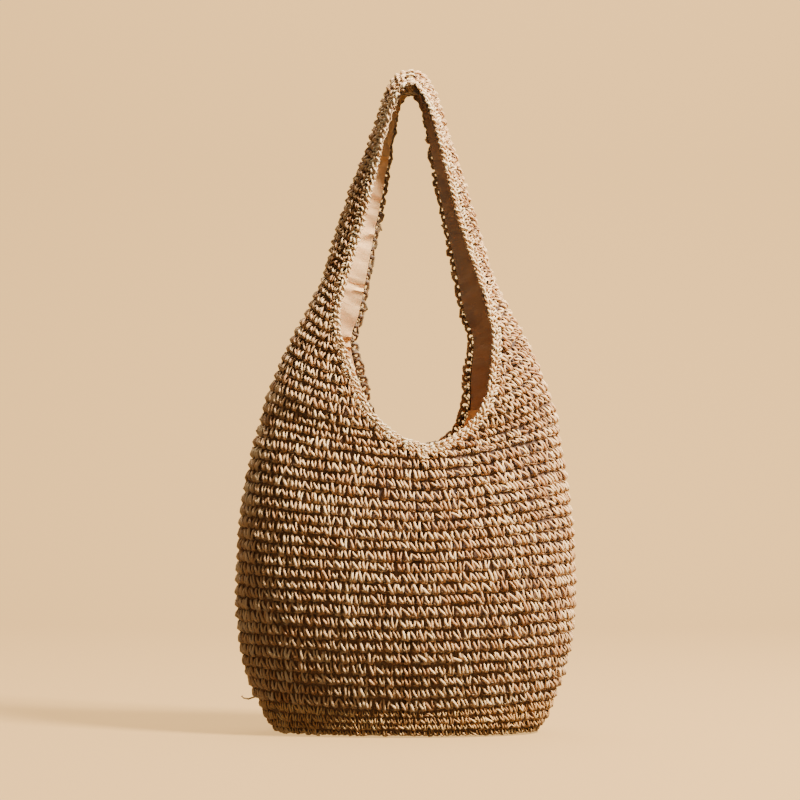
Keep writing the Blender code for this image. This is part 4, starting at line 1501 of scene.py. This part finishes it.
@dataclass
class Lining:
    """The cloth inside the body, the shoulders and the strap, and the seam stitching that holds it."""

    worker: Worker
    depth: float = 4.6 * MM
    thick: float = 0.7 * MM
    reach: float = 0.985
    side_gap: float = 0.004
    body_step: float = 0.006
    strap_pucker: float = 2.3 * MM
    body_pucker: float = 1.9 * MM
    facing_top: float = 0.6575
    facing_step: float = 0.0028
    seam_from: float = 0.307
    seam_top: float = 0.652
    seam_step: float = 3.6 * MM
    seam_inset: float = 0.03
    seam_lift: float = 0.75 * MM
    per_round = 0.115
    fold_length, fold_drift = 0.075, 0.12
    crumple_lengths = (0.03, 0.035)
    sewn_share, sewn_height = 0.12, 0.02
    cross_length, cross_drift = 0.024, 0.06
    small_lengths = (0.012, 0.02)
    strap_from, strap_over = 0.315, 0.035

    def folds(self, ground: Ground, q: np.ndarray, h: np.ndarray) -> np.ndarray:
        """Extra depth of the cloth: loose upright folds in the body, cross puckers in the strap.

        Args:
            ground: The half of the bag that the panel hangs in.
            q: Rounds.
            h: Heights.

        Returns:
            Metres below the lining's own depth.
        """
        turn = np.abs(q - 1)
        cloth = q * self.per_round
        upright = waves(cloth, self.fold_length, 3) * (0.6 + 0.4 * waves(h, self.fold_drift, 4))
        crumple = 0.5 * waves(cloth + 0.4 * h, self.crumple_lengths[0], 5)
        crumple *= waves(h + 0.02 * q, self.crumple_lengths[1], 6)
        sewn = np.clip((1 - turn) / self.sewn_share, 0.15, 1)
        sewn = sewn * np.clip((h - BODY_BOTTOM) / self.sewn_height, 0.0, 1)
        body = self.body_pucker * (0.75 + np.clip(upright + crumple, -1.5, 2.0) * 0.5) * sewn
        slant = h + 0.004 * np.sin(3 * q) + 0.03 * (q - 1) ** 2 * waves(h, self.cross_drift, 8)
        cross = waves(slant, self.cross_length, 7 + int(ground.side > 0), 4)
        small = waves(h - 0.02 * q, self.small_lengths[0], 9) * waves(q * 0.03, self.small_lengths[1], 10)
        strap = self.strap_pucker * (0.45 + 0.55 * turn ** 2) * (0.9 + 0.9 * cross + 0.3 * small)
        share = np.clip((h - self.strap_from) / self.strap_over, 0, 1)
        return np.maximum(body * (1 - share) + strap * share, 0)

    def build(self) -> None:
        """Cuts and hangs every panel."""
        low = span(BODY_BOTTOM + 0.0004, MOUTH_ROW, self.body_step)
        high = np.concatenate(([MOUTH_ROW, 0.3006, 0.302, 0.304, 0.307], span(0.311, SHOULDER_LOW, 0.005)))
        for word, near, far in (("front", 0.0, 1.0 - self.side_gap), ("back", 1.0 + self.side_gap, 2.0)):
            patches = []
            for half in HALVES.values():
                ends = (near, far) if half.side > 0 else (2 - far, 2 - near)
                rounds = np.linspace(*ends, 45)
                patches += [Patch(half, rounds, low), Patch(half, rounds, high)]
            piece = layer(f"lining_panel_{word}", patches, self.depth, self.thick, LINING, self.folds)
            seat(piece, Place.BAG, (f"lining_{word}",))
        self._base()
        across = np.linspace(1 - self.reach, 1 + self.reach, 33)
        for word, half in HALVES.items():
            # The right-hand facings take the darker copy of the lining: painted shade on the side that faces
            # away from the key light.
            cloth = LINING_PAINTED_SHADE if half.side > 0 else LINING
            for place, low, high in (
                (Place.SHOULDER, SHOULDER_LOW, SHOULDER_HIGH), (Place.STRAP, SHOULDER_HIGH, self.facing_top),
            ):
                name = f"{place.value}_facing_{word}"
                patch = Patch(half, across, span(low, high, self.facing_step))
                piece = layer(name, [patch], self.depth, self.thick, cloth, self.folds)
                seat(piece, place, (f"{place.value}_lining_{word}",))
        self._seams()

    def _base(self) -> None:
        """The cloth floor over the base board."""
        patch = Patch(LiningFloor(BaseGround()), full_turn(96), np.linspace(0.0, 1.0, 12))
        piece = layer("lining_floor", [patch], 0.0, self.thick, LINING)
        seat(piece, Place.BAG, ("lining_base",))

    def _seams(self) -> None:
        """Thread stitches along the lining's edges."""
        inset = self.reach - self.seam_inset
        lift = self.depth + self.thick + self.seam_lift
        for word, half in HALVES.items():
            for place, low, high, label in (
                (Place.BAG, self.seam_from, SHOULDER_LOW, "mouth"),
                (Place.SHOULDER, SHOULDER_LOW, SHOULDER_HIGH, "shoulder"),
                (Place.STRAP, SHOULDER_HIGH, self.seam_top, "strap"),
            ):
                lots = []
                for edge in (1 - inset, 1 + inset):
                    at, _, up, out, _ = half.frame(np.full(200, edge), np.linspace(low, high, 200))
                    run = run_length(at)
                    where = evenly(run, self.seam_step)
                    inward, along = unit(-read_line(where, run, out)), unit(read_line(where, run, up))
                    lots.append(Placing.thread(read_line(where, run, at) + inward * lift, along, inward))
                sew(self.worker, f"seam_{label}_{word}", Placing.joined(lots), place)


class LiningFloor(Ground):
    """The lining's floor and the foot of its walls, from the middle (0) to the rim (1)."""

    def __init__(self, base: BaseGround) -> None:
        """Keeps the base that it lies in."""
        self.base = base
        self.reach = Profile(((0.0, 0.0), (0.5, 0.040), (0.72, 0.058), (1.0, base.rim)))
        self.inset = 5.0 * MM
        self.floor = 7.2 * MM

    def point(self, q: np.ndarray, height: np.ndarray | float) -> np.ndarray:
        """The point at round q of the ring at this share of the way out."""
        reach = self.reach(height)
        out = self.base.frame(q, np.maximum(reach, 0.002))[3]
        eased = np.clip(np.asarray(height) / 0.6, 0, 1)[..., None]
        at = self.base.point(q, reach) - out * self.inset * eased
        at[..., 2] = np.maximum(at[..., 2], self.floor)
        return at


@dataclass
class ClothPanel:
    """A flat cloth panel with turned, rounded edges and a row of thread stitches inside them."""

    name: str
    node: str
    columns: int = 28
    rows: int = 18
    billow: float = 0.6 * MM
    billow_length: float = 0.035
    billow_from: float = 0.012
    rounded: float = 1.2 * MM
    hem_rise: float = 0.35 * MM
    hem_width: float = 0.5 * MM
    margin: float = 2.2 * MM
    stitch: float = 3.4 * MM

    def build(self, worker: Worker, facing: int) -> None:
        """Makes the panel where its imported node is.

        Args:
            worker: Works the thread stitches.
            facing: -1 where its outer face looks forward, 1 where it looks back.
        """
        low, high = (np.array(corner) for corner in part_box(self.node))
        x, z = np.meshgrid(
            np.linspace(low[0], high[0], self.columns), np.linspace(low[2], high[2], self.rows),
        )
        edge = np.minimum(np.minimum(x - low[0], high[0] - x), np.minimum(z - low[2], high[2] - z))
        rounding = 1 - np.sqrt(np.clip(1 - (1 - np.clip(edge / self.rounded, 0, 1)) ** 2, 0, 1))
        hem = self.hem_rise * np.exp(-((edge - self.margin) / self.hem_width) ** 2)
        soft = self.billow * waves(x * 1.3 + z, self.billow_length, len(self.name))
        soft = soft * np.clip(edge / self.billow_from, 0, 1) ** 2 * 0.5
        half = (high[1] - low[1]) / 2
        middle = (high[1] + low[1]) / 2
        front = middle - half * (1 - 0.8 * rounding) + hem * 0.5 + soft
        back = middle + half * (1 - 0.8 * rounding) + soft
        points = [np.stack((x, y, z), axis=-1).reshape(-1, 3) for y in (front, back)]
        cells = grid_cells(np.arange(x.size).reshape(x.shape))
        made = new_object(self.name, np.concatenate(points), shell_faces(cells, x.size))
        dress_cloth(made, np.tile(np.stack((x.ravel(), z.ravel()), axis=1), (2, 1)), LINING)
        seat(made, Place.BAG, (self.node,))
        self._stitching(worker, low, high, middle + facing * (half + THREAD_LIFT), facing)

    def _stitching(
        self, worker: Worker, low: np.ndarray, high: np.ndarray, y: float, facing: int,
    ) -> None:
        """Thread stitches round the panel, inside its edges."""
        (left, _, foot), (right, _, head) = low + self.margin, high - self.margin
        ring = np.array([(left, foot), (right, foot), (right, head), (left, head), (left, foot)])
        run = run_length(ring)
        where = evenly(run, self.stitch)
        x, z = read_line(where, run, ring).T
        side = np.clip(np.searchsorted(run, where) - 1, 0, 3)
        way = unit(np.diff(ring, axis=0))[side]
        along = np.stack((way[:, 0], np.zeros(len(x)), way[:, 1]), axis=1)
        out = np.tile((0.0, float(facing), 0.0), (len(x), 1))
        placing = Placing.thread(np.stack((x, np.full(len(x), y), z), axis=1), along, out)
        sew(worker, f"{self.name}_stitching", placing)


@dataclass
class SnapPatch:
    """The round cloth patch under each half of the snap, with its ring of stitches."""

    word: str
    rings: int = 7
    sides: int = 40
    edge: float = 1.2 * MM
    stitches: int = 24
    margin: float = 2.0 * MM

    def build(self, worker: Worker) -> None:
        """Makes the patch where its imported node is, facing the middle of the bag."""
        node = f"snap_patch_{self.word}"
        source = np.array([vertex.co for vertex in frame["nodes"][node].data.vertices], float)
        middle = source.mean(0)
        spread = np.linalg.svd(source - middle, full_matrices=False)
        axis = spread[2][2]
        inward = axis if axis[1] * middle[1] < 0 else -axis
        first = unit(np.cross(inward, (0.0, 0.0, 1.0)))
        second = np.cross(inward, first)
        offset = (source - middle) @ inward
        flat = source - middle - offset[:, None] * inward
        radius = float(np.linalg.norm(flat, axis=1).max())
        half = float(offset.max())
        rim, _ = self._circle(first, second, self.sides)
        share = np.linspace(1, 0.12, self.rings)
        points = []
        for sign in (1, -1):
            for part in share if sign > 0 else share[::-1]:
                drop = 0.5 * (1 - min((1 - part) * radius / self.edge, 1))
                points.append(middle + rim * radius * part + inward * sign * half * (1 - drop))
        points = points[self.rings:] + points[:self.rings]
        vertices = np.concatenate(points)
        last = (len(points) - 1) * self.sides
        faces = [tuple(reversed(range(self.sides)))]
        faces += ring_faces(len(points), self.sides, turned=True)
        faces.append(tuple(last + i for i in range(self.sides)))
        made = new_object(f"snap_cloth_{self.word}", vertices, faces)
        plane = np.stack(((vertices - middle) @ first, (vertices - middle) @ second), axis=1)
        dress_cloth(made, plane, LINING)
        seat(made, Place.BAG, (node,))
        ring, along = self._circle(first, second, self.stitches)
        at = middle + ring * (radius - self.margin) + inward * (half + THREAD_LIFT)
        placing = Placing.thread(at, along, np.tile(inward, (self.stitches, 1)))
        sew(worker, f"snap_stitching_{self.word}", placing)

    @staticmethod
    def _circle(first: np.ndarray, second: np.ndarray, count: int) -> tuple[np.ndarray, np.ndarray]:
        """Directions out from a circle's middle, and along the circle."""
        angle = 2 * math.pi * np.arange(count)[:, None] / count
        cosine, sine = np.cos(angle), np.sin(angle)
        return first * cosine + second * sine, -first * sine + second * cosine


class Fittings:
    """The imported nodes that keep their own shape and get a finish."""

    finishes = {
        "zip_tape_upper": TAPE, "zip_tape_lower": TAPE, "zip_teeth_upper": BRASS_ZIP,
        "zip_teeth_lower": BRASS_ZIP, "zip_stop_open_end": BRASS_ZIP, "zip_stop_closed_end": BRASS_ZIP,
        "zip_slider": BRASS_ZIP, "zip_pull": BRASS_ZIP, "snap_socket": BRASS_SNAP, "snap_stud": BRASS_SNAP,
        "base_board": BOARD, "care_label": SATIN,
    }

    def build(self) -> None:
        """Dresses each node."""
        for node, finish in self.finishes.items():
            materials = frame["nodes"][node].data.materials
            materials.clear()
            materials.append(PALETTE.get(finish))
            log.info("%s keeps its packed shape, in %s", node, finish.name)


@dataclass
class StrawEnd:
    """A loose end of straw left standing out at the foot of the left side."""

    path: tuple[Point, ...] = (
        (-0.1415, -0.018, 0.0385), (-0.1480, -0.021, 0.0372), (-0.1545, -0.0235, 0.0352),
        (-0.1590, -0.025, 0.0362), (-0.1612, -0.0255, 0.0385),
    )
    radius: float = 1.0 * MM

    def build(self) -> None:
        """Makes the loose end."""
        path = np.array(self.path)
        radius = np.linspace(1.0, 0.75, len(path)) * self.radius
        vertices, faces, coordinate = tube(path, radius, 7)
        made = new_object("straw_end", vertices, faces)
        add_values(made.data, "strand", coordinate)
        for key, value in (("sunk", 0.0), ("tone", 0.7)):
            add_values(made.data, key, np.full(len(vertices), value))
        made.data.materials.append(PALETTE.get(STRAW))
        seat(made, Place.BAG)


def look_at(made: bpy.types.Object, place: Point, aim: Point) -> None:
    """Puts an object somewhere and turns it to face a point."""
    made.location = place
    made.rotation_euler = (Vector(aim) - Vector(place)).to_track_quat("-Z", "Y").to_euler()


@dataclass(frozen=True)
class Lamp:
    """A square area light that looks at a point, by default the middle of the bag."""

    name: str
    place: Point
    size: float
    power: float
    colour: Colour
    aim: Point = (0.0, 0.0, 0.3)

    def build(self) -> None:
        """Hangs the lamp."""
        data = bpy.data.lights.new(self.name, "AREA")
        data.size, data.energy, data.color = self.size, self.power, self.colour
        look_at(link(self.name, data), self.place, self.aim)


@dataclass
class Studio:
    """The pale floor and backdrop, the soft lights and the camera."""

    lamps = (
        Lamp("key_light", (1.66, -0.95, 2.38), 0.50, 395.0, (1.0, 0.955, 0.88)),
        Lamp("fill_light", (0.2, -2.8, 1.2), 1.6, 3.5, (1.0, 0.95, 0.88)),
        Lamp("backdrop_light", (0.0, 0.75, 2.7), 2.0, 110.0, (1.0, 0.965, 0.92), (0.0, 2.6, 0.7)),
    )
    sky: Colour = (1.0, 0.93, 0.84)
    sky_strength: float = 0.11
    tint: Colour = (0.940, 0.550, 0.195)
    lit_share: float = 0.30
    own_glow: float = 1.14
    eye: Point = (-0.006, -2.3, 0.25)
    aim: Point = (-0.006, 0.0, 0.3292)
    lens: float = 104.1
    sweep: float = 0.9
    behind: float = 2.5
    reach: float = 6.0
    wall: float = 4.5
    squareness: float = 8.0
    sides: int = 128

    def build(self) -> None:
        """Sets up the whole studio."""
        self._camera()
        self._backdrop()
        for lamp in self.lamps:
            lamp.build()
        world = bpy.data.worlds.new("studio")
        bpy.context.scene.world = world
        world.use_nodes = True
        background = world.node_tree.nodes["Background"]
        background.inputs["Color"].default_value = (*self.sky, 1.0)
        background.inputs["Strength"].default_value = self.sky_strength

    def _camera(self) -> None:
        """The camera, level with the lower half of the bag."""
        data = bpy.data.cameras.new("camera")
        data.lens = self.lens
        camera = link("camera", data)
        look_at(camera, self.eye, self.aim)
        bpy.context.scene.camera = camera

    def _backdrop(self) -> None:
        """One sheet: a floor that curves up into a wall on every side, nearest behind the bag."""
        turn = 2 * math.pi * np.arange(self.sides) / self.sides
        away = np.stack((np.cos(turn), np.sin(turn)), axis=1)
        depth = np.where(away[:, 1] > 0, self.behind, self.reach)
        size = np.stack((np.full(self.sides, self.reach), depth), axis=1)
        edge = np.sum(np.abs(away / size) ** self.squareness, axis=1) ** (-1 / self.squareness)
        bend = np.linspace(0, math.pi / 2, 25)
        inset = np.concatenate((self.sweep * (1 - np.sin(bend)), [0.0]))
        rise = np.concatenate((self.sweep * (1 - np.cos(bend)), [self.wall]))
        rings = [away * edge[:, None] * share for share in (0.0001, 0.12, 0.3, 0.5)]
        rings += [away * (edge - part)[:, None] for part in inset]
        heights = np.concatenate((np.zeros(4), rise))
        points = [
            np.column_stack((ring, np.full(self.sides, height))) for ring, height in zip(rings, heights)
        ]
        between = ring_faces(len(points), self.sides, turned=True)
        faces = [tuple(reversed(face)) for face in between] + [tuple(range(self.sides))]
        made = new_object("backdrop", np.concatenate(points), faces)
        material, nodes, shader = start_material("backdrop_paper")
        place = nodes.own_place()
        grain = nodes.noise(place, 500.0)
        darker, lighter = (tuple(part * self.lit_share * k for part in self.tint) for k in (0.99, 1.01))
        plug(nodes, shader, {
            "Base Color": nodes.mix(grain, darker, lighter), "Roughness": 0.9, "Specular IOR Level": 0.15,
            "Emission Color": self.tint, "Emission Strength": self.own_glow,
        })
        made.data.materials.append(material)
        made.visible_diffuse = False


def main() -> None:
    """Builds the studio and every sub-assembly, in order."""
    logging.basicConfig(level=logging.INFO, format="%(name)s: %(message)s")
    Studio().build()
    worker = Worker(StitchBook(), StitchTree())
    CrochetBase(worker).build()
    CrochetBody(worker).build()
    CrochetStrap(worker).build()
    Edging(worker).build()
    Lining(worker).build()
    for name, node, facing in (
        ("zip_pocket_front", "zip_pocket_panel", -1), ("zip_pocket_top_band", "zip_pocket_band", -1),
        ("slip_pocket_front", "slip_pocket", 1),
    ):
        ClothPanel(name, node).build(worker, facing)
    for word in ("front", "back"):
        SnapPatch(word).build(worker)
    StrawEnd().build()
    Fittings().build()
    worker.book.put_away()


if __name__ == "__main__":
    main()
